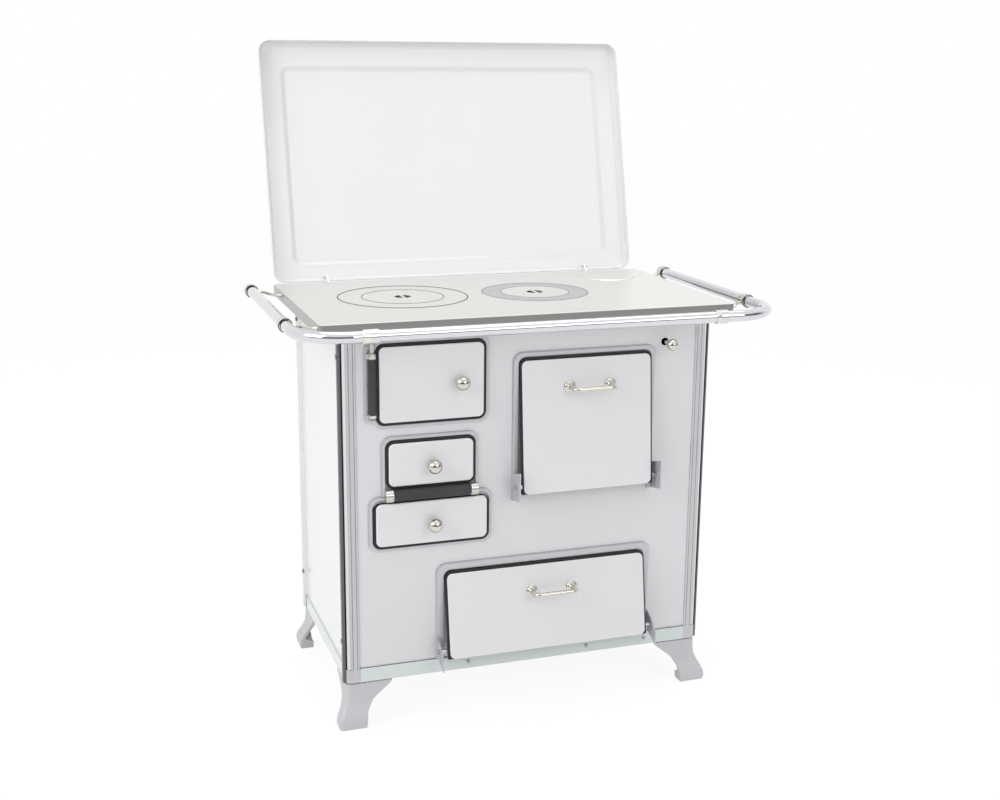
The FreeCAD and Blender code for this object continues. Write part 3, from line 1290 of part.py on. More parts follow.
def lean_door(kind, name):
    """Door plate behind its cover, with a bored lug at each end for the pivot screws."""
    edge = f"({kind}_half + lean_margin)"
    back = f"(lean_cover - {kind}_face)"
    foot = f"{kind}_foot"
    body = new_body(name + "_plate")
    sketch = sketch_on(body, "XZ", f"-({back} + lean_door_thick)")
    draw_rectangle(sketch, ("-" + edge, edge), ("-" + foot, f"{kind}_door_length - {foot} + cover_margin"))
    pad(body, sketch, "lean_door_thick")
    round_edges(body, "cover_round + lean_margin",
                lambda edge: runs_along(edge, "y") and edge.BoundBox.ZMin > 0)
    lugs = [bar(name + "_left_lug", "x", "2 * pivot_reach", ("0", "0"), "-" + edge, f"lug_length - {edge}"),
            bar(name + "_right_lug", "x", "2 * pivot_reach", ("0", "0"), f"{edge} - lug_length", edge)]
    bores = [bar(name + "_left_bore", "x", "pivot_reach + pin_fit", ("0", "0"),
                 f"-{edge} - past", f"pivot_hold - {edge}"),
             bar(name + "_right_bore", "x", "pivot_reach + pin_fit", ("0", "0"),
                 f"{edge} - pivot_hold", f"{edge} + past")]
    before = block(name + "_before", (f"-{edge} - past", f"{edge} + past"),
                   (f"{back} - cut_reach", back), ("-" + foot, foot))
    return cut(name, fuse(name + "_whole", body, *lugs), before, *bores)


def lean_cover_plate(kind, name):
    body = new_body(name)
    sketch = sketch_on(body, "XZ", f"{kind}_face - lean_cover")
    draw_rectangle(sketch, (f"-{kind}_half", f"{kind}_half"),
                   (f"-{kind}_foot", f"{kind}_door_length - {kind}_foot"))
    pad(body, sketch, "lean_cover")
    round_edges(body, "cover_round", lambda edge: runs_along(edge, "y"))
    front = -value(f"{kind}_face")
    round_edges(body, "cover_edge / 2", lambda edge: lies_at(edge, "y", front))
    return body


def door_handle(kind, name):
    """Round bar a little below its two posts, each with a rosette against the cover."""
    up, face = f"{kind}_handle_up", f"{kind}_face"
    level = f"{up} - handle_drop"
    reach = f"-{face} - handle_stand"
    middle = f"{kind}_handle_x - {kind}_x"
    left, right = f"{middle} - handle_span / 2", f"{middle} + handle_span / 2"
    pieces = [bar(name + "_bar", "x", "handle_reach", (reach, level), left, right)]
    for side, spot in (("left", left), ("right", right)):
        pieces.append(taper(f"{name}_{side}_rosette", "y", "handle_reach", "rosette_reach", (spot, up),
                            f"-{face} - rosette_thick", f"-{face}"))
        pieces.append(bar(f"{name}_{side}_post", "y", "handle_post", (spot, up), reach,
                          f"-{face} - rosette_thick / 2"))
        pieces.append(ball(f"{name}_{side}_knuckle", "handle_knuckle", spot, reach,
                           f"{up} - handle_drop / 2"))
    return fuse(name, *pieces)


def leaning_door(kind):
    """Plate, cover and handle of a leaning door, in its leaning place."""
    name = kind + "_door"
    pieces = [lean_door(kind, name), lean_cover_plate(kind, name + "_cover"),
              door_handle(kind, name + "_handle")]
    return [set_leaning(piece, kind) for piece in pieces]


def set_leaning(solid, kind):
    """Set a leaning door's piece at its pivot and lean it back against the box's lip."""
    lean(solid, f"{kind}_pivot_y", f"{kind}_pivot_z", f"-{kind}_lean")
    bind(solid, "Placement.Base.x", f"{kind}_x")
    return solid


def lip_cutter(kind):
    """All that lies in front of a leaning door's back face."""
    slab = block(f"{kind}_slab", (f"-{kind}_half * 2", f"{kind}_half * 2"),
                 ("-cut_reach", f"{kind}_door_back + lip_gap"), ("-cut_reach", f"{kind}_door_length * 2"))
    return set_leaning(group(f"{kind}_front_cut", slab), kind)


def swing_cutter(kind):
    """Room for the lower edge of a leaning door as it swings."""
    clear = bar(f"{kind}_sweep_bar", "x", f"{kind}_foot + {kind}_face", ("0", "0"),
                f"-{kind}_half * 2", f"{kind}_half * 2")
    below = block(f"{kind}_sweep_below", (f"-{kind}_half * 2", f"{kind}_half * 2"),
                  ("-cut_reach / 2", "cut_reach / 2"), ("-cut_reach / 2", f"{kind}_door_back + lip_gap"))
    return set_leaning(group(f"{kind}_swing_cut", clear_common(kind, clear, below)), kind)


def clear_common(kind, first, second):
    made = document.addObject("Part::Common", f"{kind}_sweep")
    made.Base = first
    made.Tool = second
    return made


def inner_box(kind, name, wall):
    """Sheet box behind a leaning door: open in front, its lip cut to the door's slope."""
    half_wide = f"{kind}_inner_half"
    wide = (f"{kind}_x - {half_wide} - {wall}", f"{kind}_x + {half_wide} + {wall}")
    outer = block(name + "_outer", wide, ("front - box_reach", f"inner_front + {kind}_deep + {wall}"),
                  (f"{kind}_low - {wall}", f"{kind}_high + {wall}"))
    inner = block(name + "_inner", (f"{kind}_x - {half_wide}", f"{kind}_x + {half_wide}"),
                  ("front - box_reach - past", f"inner_front + {kind}_deep"),
                  (f"{kind}_low", f"{kind}_high"))
    return outer, inner


def oven_box():
    outer, inner = inner_box("oven", "oven_box", "oven_wall")
    shell = cut("oven_box_shell", outer, inner, lip_cutter("oven"), swing_cutter("oven"))
    bearers = []
    left, right = "oven_x - oven_inner_half", "oven_x + oven_inner_half"
    for side, low, high in (("left", left, left + " + shelf_bearer"),
                            ("right", right + " - shelf_bearer", right)):
        bearers.append(block(f"{side}_bearer", (low, high),
                             ("inner_front + bearer_setback", "inner_front + oven_deep"),
                             ("shelf_level - shelf_bearer / 2", "shelf_level")))
    return fuse("oven_box", shell, *bearers)


def oven_shelf():
    """Round-rod shelf that rests on the bearers."""
    gap = "(seam_gap + shelf_rod)"
    left = f"oven_x - oven_inner_half + {gap}"
    right = f"oven_x + oven_inner_half - {gap}"
    near, far = "inner_front + shelf_front", "inner_front + oven_deep - shelf_back"
    level = "shelf_level + shelf_rod + seam_gap"
    rods = [bar("shelf_left", "y", "shelf_rod", (left, level), near, far),
            bar("shelf_right", "y", "shelf_rod", (right, level), near, far)]
    count = int(value("shelf_rods"))
    for step in range(count):
        spot = f"{near} + shelf_rod + ({far} - ({near}) - 2 * shelf_rod) * {step} / (shelf_rods - 1)"
        rods.append(bar(f"shelf_cross_{step + 1}", "x", "shelf_cross", (spot, level), left, right))
    return fuse("oven_shelf", *rods)


def wood_box():
    outer, inner = inner_box("wood", "wood_box", "wood_wall")
    shell = cut("wood_box_shell", outer, inner, lip_cutter("wood"), swing_cutter("wood"))
    feet = []
    for side, sign in (("left", -1), ("right", 1)):
        ends = (f"wood_x + {sign} * (wood_inner_half - wood_runner)",
                f"wood_x + {sign} * (wood_inner_half + wood_wall)")
        feet.append(block(f"wood_foot_{side}", ends if sign > 0 else ends[::-1],
                          ("inner_front", "inner_front + wood_deep + wood_wall"),
                          ("floor_top", "wood_low - wood_wall")))
    return fuse("wood_box", shell, *feet)


def lean_frame(kind, ear_half, ear_corners, rim_high, rim_low):
    """Rim over the top and sides of a leaning door, with an ear at each side for a pivot screw."""
    name = kind + "_frame"
    outer_half = f"({ear_half} + ear_thick)"
    clear_half = f"({kind}_half + lean_margin + rim_clear)"
    outer = rim_outer(name + "_outer", (f"{kind}_x - {outer_half}", f"{kind}_x + {outer_half}"),
                      (rim_low, rim_high), tops_only=True)
    door_top = f"{kind}_pivot_z + {kind}_door_length - {kind}_foot + cover_margin + rim_clear"
    inner = rim_inner(name + "_inner", (f"{kind}_x - {clear_half}", f"{kind}_x + {clear_half}"),
                      (f"{rim_low} - {kind}_door_length", door_top), "cover_round + lean_margin")
    pieces = [cut(name + "_rim", outer, inner)]
    bores = []
    for side, low in (("left", f"{kind}_x - {outer_half}"), ("right", f"{kind}_x + {ear_half}")):
        ear = new_body(f"{name}_{side}_ear")
        sketch = sketch_on(ear, "YZ", low)
        draw_outline(sketch, ear_corners)
        pad(ear, sketch, "ear_thick")
        pieces.append(ear)
        bores.append(bar(f"{name}_{side}_bore", "x", "pivot_reach", (f"{kind}_pivot_y", f"{kind}_pivot_z"),
                         f"{low} - past", f"{low} + ear_thick + past"))
    return cut(name, fuse(name + "_whole", *pieces), *bores)


def oven_frame():
    corners = [("front", "oven_rim_low"), ("front", "oven_ear_root"),
               ("front - oven_ear_out", "oven_ear_high"), ("front - oven_ear_out", "oven_ear_low")]
    return lean_frame("oven", "ear_half", corners, "oven_rim_high", "oven_rim_low")


def wood_frame():
    corners = [("front", "wood_ear_nose"), ("front", "wood_ear_root"),
               ("front - wood_ear_bend", "wood_ear_shoulder"),
               ("front - wood_ear_out", "wood_ear_nose"), ("front - wood_ear_out", "wood_ear_tip")]
    return lean_frame("wood", "wood_ear_half", corners, "wood_rim_high", "leg_height + strip_height")


def door_pivots():
    """Pivot screws of both leaning doors, from outside each ear into the door."""
    pivots = []
    for kind, ear in (("oven", "ear_half"), ("wood", "wood_ear_half")):
        spot = (f"{kind}_pivot_y", f"{kind}_pivot_z")
        door_end = f"({kind}_half + lean_margin - pivot_hold + pivot_short)"
        face = f"({ear} + ear_thick)"
        for side in ("left", "right"):
            name = f"{kind}_{side}_pivot"
            if side == "left":
                shank = (f"{kind}_x - {face}", f"{kind}_x - {door_end}")
                head = (f"{kind}_x - {face} - ear_thick", f"{kind}_x - {face}")
                sleeve = (f"{kind}_x - {ear}", f"{kind}_x - {kind}_half - lean_margin - seam_gap")
            else:
                shank = (f"{kind}_x + {door_end}", f"{kind}_x + {face}")
                head = (f"{kind}_x + {face}", f"{kind}_x + {face} + ear_thick")
                sleeve = (f"{kind}_x + {kind}_half + lean_margin + seam_gap", f"{kind}_x + {ear}")
            pivots.append(fuse(name, bar(name + "_shank", "x", "pivot_reach", spot, *shank),
                               bar(name + "_head", "x", "pivot_head", spot, *head),
                               bar(name + "_sleeve", "x", "pivot_head", spot, *sleeve)))
    return group("door_pivots", *pivots)


# Inside the casing.

def inner_shelf():
    """Sheet between the lower compartment and the ash housing."""
    return block("inner_shelf", ("-inner_side", "inner_side"), ("inner_front", "inner_back"),
                 ("divider_level", "divider_level + housing_wall"))


def ash_housing():
    """Three walls round the ash space, runners for the tray and the seat of the grate."""
    low, high = "divider_level + housing_wall", "seat_low"
    deep = ("inner_front", "fire_back")
    pieces = [
        block("housing_left_wall", ("housing_left", "housing_left + housing_wall"), deep, (low, high)),
        block("housing_right_wall", ("housing_right - housing_wall", "housing_right"), deep, (low, high)),
        block("housing_back_wall", ("housing_left", "housing_right"),
              ("fire_back - housing_wall", "fire_back"), (low, high)),
    ]
    runner = (low, "tray_low - seam_gap")
    runner_deep = ("inner_front", "tray_back")
    pieces.append(block("housing_left_runner", ("housing_left", "tray_left + 3 * housing_wall"),
                        runner_deep, runner))
    pieces.append(block("housing_right_runner", ("tray_right - 3 * housing_wall", "housing_right"),
                        runner_deep, runner))
    seat = block("housing_seat", ("housing_left", "housing_right"), deep, ("seat_low", "seat_top"))
    border = "brick_thick + grate_border / 2"
    hole = block("housing_seat_hole", (f"housing_left + {border}", f"housing_right - ({border})"),
                 ("inner_front + fire_gap", f"fire_back - ({border})"),
                 ("seat_low - past", "seat_top + past"))
    pieces.append(cut("housing_seat_cut", seat, hole))
    return fuse("ash_housing", *pieces)


def grate():
    """Cast grate with a row of slots."""
    body = new_body("grate")
    sketch = sketch_on(body, "XY", "seat_top")
    left = "housing_left + brick_thick + seam_gap"
    right = "housing_right - brick_thick - seam_gap"
    near = "inner_front + fire_gap / 2"
    far = "fire_back - brick_thick - seam_gap"
    draw_rectangle(sketch, (left, right), (near, far))
    pad(body, sketch, "grate_thick")
    slots = sketch_on(body, "XY", "seat_top")
    middle = "(housing_left + housing_right) / 2"
    first = f"{middle} - grate_pitch * (grate_slots - 1) / 2"
    draw_rectangle(slots, (f"{first} - grate_slot / 2", f"{first} + grate_slot / 2"),
                   (f"{near} + 2 * grate_border", f"{far} - grate_border"))
    base = pocket(body, slots, "grate_thick")
    row = body.newObject("PartDesign::LinearPattern", "grate_row")
    row.Originals = [base]
    row.Direction = (slots, ["H_Axis"])
    bind(row, "Length", "grate_pitch * (grate_slots - 1)")
    bind(row, "Occurrences", "grate_slots")
    body.Tip = row
    document.recompute()
    return body


def fire_bricks():
    """Side and back bricks round the fire, standing on the seat."""
    tall = ("seat_top", "hob_under - seam_gap")
    near = "inner_front"
    bricks = [
        block("left_brick", ("housing_left", "housing_left + brick_thick"), (near, "fire_back"), tall),
        block("right_brick", ("housing_right - brick_thick", "housing_right"), (near, "fire_back"),
              ("seat_top", "oven_high + oven_wall")),
        block("back_brick", ("housing_left + brick_thick", "housing_right - brick_thick"),
              ("fire_back - brick_thick", "fire_back"), tall),
    ]
    return group("fire_bricks", *bricks)


def flue_throat():
    """Level plate under the flue outlet, with the hole that the damper closes."""
    plate = block("throat_plate", ("throat_left", "inner_side"), ("front + throat_front", "inner_back"),
                  ("throat_level", "throat_level + sheet"))
    hole = bar("throat_hole", "z", "throat_reach", ("flue_x", "front + flue_y"), "throat_level - past",
               "throat_level + sheet + past")
    return cut("flue_throat", plate, hole)


def damper_plate():
    """Sliding plate under the throat with a socket for its rod."""
    low = "throat_level - seam_gap - sheet"
    spot = ("damper_x", "damper_z")
    plate = block("damper_leaf", ("throat_left + damper_left", "inner_side - damper_right"),
                  ("damper_near", "damper_near + damper_plate_length"), (low, "throat_level - seam_gap"))
    socket = bar("damper_socket_bar", "y", "damper_socket", spot,
                 "damper_near", "damper_near + damper_boss")
    web = block("damper_web", ("damper_x - sheet", "damper_x + sheet"),
                ("damper_near", "damper_near + damper_boss"), ("damper_z", low))
    bore = bar("damper_bore", "y", "damper_rod_reach", spot,
               "damper_near - past", "damper_near + damper_grip")
    return cut("damper_plate", fuse("damper_whole", plate, socket, web), bore)


def damper_rod():
    """Rod with a ball knob in front of the panel."""
    spot = ("damper_x", "damper_z")
    middle = "front - damper_stand"
    rod = bar("damper_bar", "y", "damper_rod_reach", spot, middle, "damper_near + damper_grip")
    head = ball("damper_ball", "damper_knob_reach", "damper_x", middle, "damper_z")
    neck = taper("damper_neck", "y", "damper_neck_reach", "damper_rod_reach", spot,
                 f"{middle} + damper_neck_start", f"{middle} + damper_neck_end")
    return fuse("damper_rod", rod, head, neck)


CORNERS = (("front_left", -1, -1), ("front_right", 1, -1), ("back_left", -1, 1), ("back_right", 1, 1))


def build():
    """Every sub-part of the cooker."""
    pieces = [base_tray(), front_panel(), side_panel("left_panel", "-side_face", "-inner_side"),
              side_panel("right_panel", "inner_side", "side_face"), back_panel()]
    for corner, side, end in CORNERS:
        pieces.append(corner_post(corner + "_post", side, end))
    pieces.append(casing_screws())
    for corner, side, end in CORNERS:
        pieces.append(leg(corner + "_leg", side, end))
    pieces += [leg_bolts(), hob_plate(), lid(), lid_hinges()]
    for side in ("left", "right"):
        name = side + "_ring"
        reach, inner = name + "_reach", side + "_disc_reach"
        pieces += [ring(name, reach, inner), disc(side + "_disc", name, inner)]
    pieces.append(flue_cover())
    pieces += [front_rail(), side_rails(), rail_elbows(), rail_brackets()]
    pieces += [fire_door_frame(), fire_door(),
               cover("fire_door_cover", "fire_left", "fire_right", "fire_low", "fire_high"),
               knob("fire_door_knob", "fire_knob_x", "fire_knob_z")]
    pieces += [middle_door_frame(), middle_door(),
               cover("middle_door_cover", "air_left", "air_right", "air_low", "air_high"),
               knob("middle_door_knob", "air_knob_x", "air_knob_z"), hinge_pins()]
    pieces += [ash_drawer_frame(), ash_drawer_front(),
               cover("ash_drawer_cover", "ash_left", "ash_right", "ash_low", "ash_high"),
               knob("ash_drawer_knob", "ash_knob_x", "ash_knob_z"), ash_tray()]
    pieces += [oven_frame(), oven_box(), oven_shelf()]
    pieces += leaning_door("oven")
    pieces += [wood_frame(), wood_box()]
    pieces += leaning_door("wood")
    pieces += [door_pivots(), inner_shelf(), ash_housing(), grate(), fire_bricks()]
    pieces += [flue_throat(), damper_plate(), damper_rod()]
    return pieces


def check_and_write(pieces):
    """Stop on a failed object or a bad shape, then write one file for each sub-part."""
    document.recompute()
    for item in document.Objects:
        assert "Invalid" not in item.State and "Error" not in item.State, item.Name + " failed"
    for piece in pieces:
        shape = piece.Shape
        good = not shape.isNull() and shape.isValid() and shape.Volume > 0
        assert good, piece.Label + " is not a good shape"
    os.makedirs("parts", exist_ok=True)
    for piece in pieces:
        shape = piece.Shape
        shape.exportStep("parts/" + piece.Label + ".step")
        print(piece.Label, len(shape.Solids), round(shape.Volume / 1000, 1))


check_and_write(build())
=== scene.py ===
import json
import math

import bmesh
import bpy
from mathutils import Matrix, Vector


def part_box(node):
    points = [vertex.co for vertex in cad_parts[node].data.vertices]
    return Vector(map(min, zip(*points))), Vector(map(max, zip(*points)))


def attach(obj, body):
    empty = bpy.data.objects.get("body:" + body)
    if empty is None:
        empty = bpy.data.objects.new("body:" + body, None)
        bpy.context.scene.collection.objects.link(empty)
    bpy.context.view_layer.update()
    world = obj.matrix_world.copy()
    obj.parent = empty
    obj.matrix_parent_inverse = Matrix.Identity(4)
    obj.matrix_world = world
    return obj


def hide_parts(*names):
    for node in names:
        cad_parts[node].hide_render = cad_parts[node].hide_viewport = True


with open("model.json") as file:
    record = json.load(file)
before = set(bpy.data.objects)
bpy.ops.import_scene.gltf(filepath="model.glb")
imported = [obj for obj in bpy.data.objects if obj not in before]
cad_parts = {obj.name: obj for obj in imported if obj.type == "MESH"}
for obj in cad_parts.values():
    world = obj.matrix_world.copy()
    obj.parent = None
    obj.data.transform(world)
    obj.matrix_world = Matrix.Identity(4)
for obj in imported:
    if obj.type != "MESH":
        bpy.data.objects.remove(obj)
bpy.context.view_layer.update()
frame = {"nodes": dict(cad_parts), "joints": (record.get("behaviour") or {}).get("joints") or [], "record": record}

MM = 0.001
HALF = 376.0                # half the casing's width
POST_LOW, POST_HIGH = 92.0, 804.0
POST_LEG, POST_ROUND, POST_SHEET = 27.0, 10.0, 2.0
RIB_PROUD = 5.6             # how far the screwed rib stands out of the post's side
STRIP_TOP = 120.0
UPPER_LEFT = (-0.71, 0.0, 0.71)
UPWARD = (0.0, 0.0, 1.0)
LEFTWARD = (-1.0, 0.0, 0.0)

nodes = frame["nodes"]
cad_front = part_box("front_panel")[0].y
cad_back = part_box("back_panel")[1].y


# Node trees.

def add_node(tree, kind, **settings):
    """A node of the tree; a setting whose name isn't the node's own is an input's value."""
    node = tree.nodes.new(kind)
    for name, value in settings.items():
        if name in node.bl_rna.properties:
            setattr(node, name, value)
        else:
            node.inputs[name.replace("_", " ")].default_value = value
    return node


def join(tree, source, target):
    tree.links.new(source, target)


def new_group(name, inputs, outputs):
    """A shader group with named sockets; an input's number or colour is its default."""
    tree = bpy.data.node_groups.new(name, "ShaderNodeTree")
    for label, value in inputs.items():
        kind = "NodeSocketColor" if isinstance(value, tuple) else "NodeSocketFloat"
        socket = tree.interface.new_socket(label, in_out="INPUT", socket_type=kind)
        socket.default_value = value
    for label in outputs:
        kind = "NodeSocketColor" if label == "Color" else "NodeSocketFloat"
        tree.interface.new_socket(label, in_out="OUTPUT", socket_type=kind)
    return tree, tree.nodes.new("NodeGroupInput"), tree.nodes.new("NodeGroupOutput")


def noise(tree, place, **settings):
    made = add_node(tree, "ShaderNodeTexNoise", **settings)
    join(tree, place, made.inputs["Vector"])
    return made.outputs["Fac"]


def spread(tree, value, low, high, to_low=0.0, to_high=1.0):
    """Map one range of a value to another, held at its ends."""
    made = add_node(tree, "ShaderNodeMapRange", From_Min=low, From_Max=high, To_Min=to_low, To_Max=to_high)
    join(tree, value, made.inputs["Value"])
    return made.outputs["Result"]


def math_node(tree, kind, first, second):
    made = add_node(tree, "ShaderNodeMath", operation=kind)
    for place, item in enumerate((first, second)):
        if isinstance(item, (int, float)):
            made.inputs[place].default_value = item
        else:
            join(tree, item, made.inputs[place])
    return made.outputs[0]


def blend_colors(tree, mask, first, second, how="MIX"):
    """One colour over another by a mask."""
    made = add_node(tree, "ShaderNodeMix", data_type="RGBA", blend_type=how)
    for place, item in ((0, mask), (6, first), (7, second)):
        if isinstance(item, (int, float, tuple)):
            made.inputs[place].default_value = item
        else:
            join(tree, item, made.inputs[place])
    return made.outputs[2]


def build_edge_group():
    """Where the surface turns over an edge: 1 on the edge, 0 on the flat."""
    tree, given, result = new_group("edge_line", {"Reach": 0.0015}, ["Mask"])
    bevel = add_node(tree, "ShaderNodeBevel", samples=6)
    join(tree, given.outputs["Reach"], bevel.inputs["Radius"])
    geometry = tree.nodes.new("ShaderNodeNewGeometry")
    facing = add_node(tree, "ShaderNodeVectorMath", operation="DOT_PRODUCT")
    join(tree, bevel.outputs["Normal"], facing.inputs[0])
    join(tree, geometry.outputs["Normal"], facing.inputs[1])
    join(tree, spread(tree, facing.outputs["Value"], 0.995, 0.86), result.inputs["Mask"])
    return tree


def build_enamel_group():
    """Fired enamel: a slightly uneven tone, a faint ripple and tiny pinholes."""
    tree, given, result = new_group(
        "fired_enamel", {"Color": (0.9, 0.9, 0.9, 1.0), "Unevenness": 0.03, "Gloss": 0.16},
        ["Color", "Roughness", "Height"])
    place = tree.nodes.new("ShaderNodeTexCoord").outputs["Object"]
    broad = noise(tree, place, Scale=3.0, Detail=2.0)
    dark = math_node(tree, "MULTIPLY", spread(tree, broad, 0.3, 0.7), given.outputs["Unevenness"])
    speck = spread(tree, noise(tree, place, Scale=420.0, Detail=1.0), 0.74, 0.8, 0.0, 0.04)
    shade = math_node(tree, "ADD", dark, speck)
    color = blend_colors(tree, shade, given.outputs["Color"], (0.30, 0.31, 0.33, 1.0))
    join(tree, color, result.inputs["Color"])
    smear = spread(tree, noise(tree, place, Scale=6.0, Detail=2.0), 0.35, 0.75, 0.0, 0.04)
    join(tree, math_node(tree, "ADD", given.outputs["Gloss"], smear), result.inputs["Roughness"])
    ripple = noise(tree, place, Scale=38.0, Detail=1.0)
    fine = math_node(tree, "MULTIPLY", noise(tree, place, Scale=240.0, Detail=1.0), 0.2)
    join(tree, math_node(tree, "ADD", ripple, fine), result.inputs["Height"])
    return tree


def build_polish_group():
    """Polished plate: hairline rubbing marks along one axis, a few dull smears."""
    tree, given, result = new_group(
        "polish_marks", {"Color": (0.8, 0.8, 0.8, 1.0), "Roughness": 0.1, "Marks": 0.05,
                         "Along X": 1.0, "Along Y": 1.0, "Along Z": 1.0},
        ["Color", "Roughness", "Height"])
    place = tree.nodes.new("ShaderNodeTexCoord").outputs["Object"]
    stretch = add_node(tree, "ShaderNodeCombineXYZ")
    for axis in "XYZ":
        join(tree, given.outputs["Along " + axis], stretch.inputs[axis])
    scaled = add_node(tree, "ShaderNodeVectorMath", operation="MULTIPLY")
    join(tree, place, scaled.inputs[0])
    join(tree, stretch.outputs[0], scaled.inputs[1])
    hair = noise(tree, scaled.outputs[0], Scale=100.0, Detail=4.0, Roughness=0.65)
    marks = spread(tree, hair, 0.35, 0.7)
    smear = spread(tree, noise(tree, place, Scale=16.0, Detail=3.0), 0.4, 0.75)
    dulled = math_node(tree, "MULTIPLY", math_node(tree, "ADD", marks, smear), given.outputs["Marks"])
    join(tree, math_node(tree, "ADD", given.outputs["Roughness"], dulled), result.inputs["Roughness"])
    shade = math_node(tree, "MULTIPLY", marks, math_node(tree, "MULTIPLY", given.outputs["Marks"], 1.6))
    join(tree, blend_colors(tree, shade, given.outputs["Color"], (0.25, 0.25, 0.26, 1.0)),
         result.inputs["Color"])
    join(tree, hair, result.inputs["Height"])
    return tree


def build_cast_group():
    """Sand-cast skin: soft lumps and a fine grit, with a lighter bloom of dust."""
    tree, given, result = new_group(
        "cast_skin", {"Color": (0.05, 0.05, 0.05, 1.0), "Dust": 0.2, "Grit": 1.0},
        ["Color", "Roughness", "Height"])
    place = tree.nodes.new("ShaderNodeTexCoord").outputs["Object"]
    grit = noise(tree, place, Scale=480.0, Detail=3.0)
    lump = noise(tree, place, Scale=70.0, Detail=2.0)
    cloud = spread(tree, noise(tree, place, Scale=9.0, Detail=4.0), 0.4, 0.7)
    bloom = math_node(tree, "MULTIPLY", math_node(tree, "MULTIPLY", cloud, grit), given.outputs["Dust"])
    join(tree, blend_colors(tree, bloom, given.outputs["Color"], (0.45, 0.44, 0.42, 1.0)),
         result.inputs["Color"])
    join(tree, spread(tree, grit, 0.3, 0.7, 0.48, 0.68), result.inputs["Roughness"])
    rough = math_node(tree, "MULTIPLY", grit, given.outputs["Grit"])
    join(tree, math_node(tree, "ADD", rough, lump), result.inputs["Height"])
    return tree


def build_facing_group():
    """How squarely the surface faces an axis of the object: Mask either way, Toward one way only."""
    tree, given, result = new_group(
        "facing_side", {"Along X": 0.0, "Along Y": 1.0, "Along Z": 0.0, "Turned": 0.75, "Square": 0.97},
        ["Mask", "Toward"])
    axis = add_node(tree, "ShaderNodeCombineXYZ")
    for letter in "XYZ":
        join(tree, given.outputs["Along " + letter], axis.inputs[letter])
    facing = add_node(tree, "ShaderNodeVectorMath", operation="DOT_PRODUCT")
    join(tree, tree.nodes.new("ShaderNodeTexCoord").outputs["Normal"], facing.inputs[0])
    join(tree, axis.outputs[0], facing.inputs[1])
    size = math_node(tree, "ABSOLUTE", facing.outputs["Value"], 0.0)
    for value, label in ((size, "Mask"), (facing.outputs["Value"], "Toward")):
        made = tree.nodes.new("ShaderNodeMapRange")
        join(tree, value, made.inputs["Value"])
        join(tree, given.outputs["Turned"], made.inputs["From Min"])
        join(tree, given.outputs["Square"], made.inputs["From Max"])
        join(tree, made.outputs["Result"], result.inputs[label])
    return tree


edge_line = build_edge_group()
facing_side = build_facing_group()
fired_enamel = build_enamel_group()
polish_marks = build_polish_group()
cast_skin = build_cast_group()


def place_group(tree, group, **values):
    node = tree.nodes.new("ShaderNodeGroup")
    node.node_tree = group
    for name, value in values.items():
        node.inputs[name.replace("_", " ")].default_value = value
    return node


def new_material(name):
    material = bpy.data.materials.new(name)
    material.use_nodes = True
    tree = material.node_tree
    return material, tree, tree.nodes["Principled BSDF"]


def raise_bumps(tree, shader, height, distance, strength=1.0):
    bump = add_node(tree, "ShaderNodeBump", Distance=distance, Strength=strength)
    join(tree, height, bump.inputs["Height"])
    join(tree, bump.outputs["Normal"], shader.inputs["Normal"])


def paint_edge_light(tree, color, painted_edge_color, reach, amount):
    """The colour with painted light along its edges: a painted highlight, or painted shade, in the edge colour."""
    mask = place_group(tree, edge_line, Reach=reach).outputs["Mask"]
    scaled = math_node(tree, "MULTIPLY", mask, amount)
    return blend_colors(tree, scaled, color, painted_edge_color)


def facing_masks(tree, along, turned, square):
    return place_group(tree, facing_side, Along_X=along[0], Along_Y=along[1], Along_Z=along[2],
                       Turned=turned, Square=square).outputs


def turned_tint(tree, color, turned_shading_color, along=(0.0, 1.0, 0.0), turned=0.75, square=0.97):
    """The colour where the surface faces along the axis, and another where it turns away."""
    return blend_colors(tree, facing_masks(tree, along, turned, square)["Mask"], turned_shading_color, color)


def toward_tint(tree, color, toward_color, along, turned, square):
    """The colour with another where the surface faces one way along the axis."""
    return blend_colors(tree, facing_masks(tree, along, turned, square)["Toward"], color, toward_color)


def enamel(name, color, gloss=0.16, uneven=0.012, edge=(0.97, 0.97, 0.97, 1.0), painted_edge_amount=0.5,
           turned_shading_color=None, upper_left_color=None, coat=0.3, shine=0.5):
    """Fired enamel; the turned colour is a painted highlight on rounded edges, the upper left colour is painted
    shade on those in shade, and the edge colour is a painted highlight along the edges.
    """
    material, tree, shader = new_material(name)
    skin = place_group(tree, fired_enamel, Color=color, Unevenness=uneven, Gloss=gloss)
    surface = skin.outputs["Color"]
    if turned_shading_color:
        surface = turned_tint(tree, surface, turned_shading_color)
    if upper_left_color:
        surface = toward_tint(tree, surface, upper_left_color, UPPER_LEFT, 0.15, 0.5)
    # Painted highlight along the edges in the edge colour.
    join(tree, paint_edge_light(tree, surface, edge, 0.0018, painted_edge_amount), shader.inputs["Base Color"])
    join(tree, skin.outputs["Roughness"], shader.inputs["Roughness"])
    raise_bumps(tree, shader, skin.outputs["Height"], 0.00005, 0.25)
    shader.inputs["Coat Weight"].default_value = coat
    shader.inputs["Specular IOR Level"].default_value = shine
    shader.inputs["Coat Roughness"].default_value = 0.06
    return material


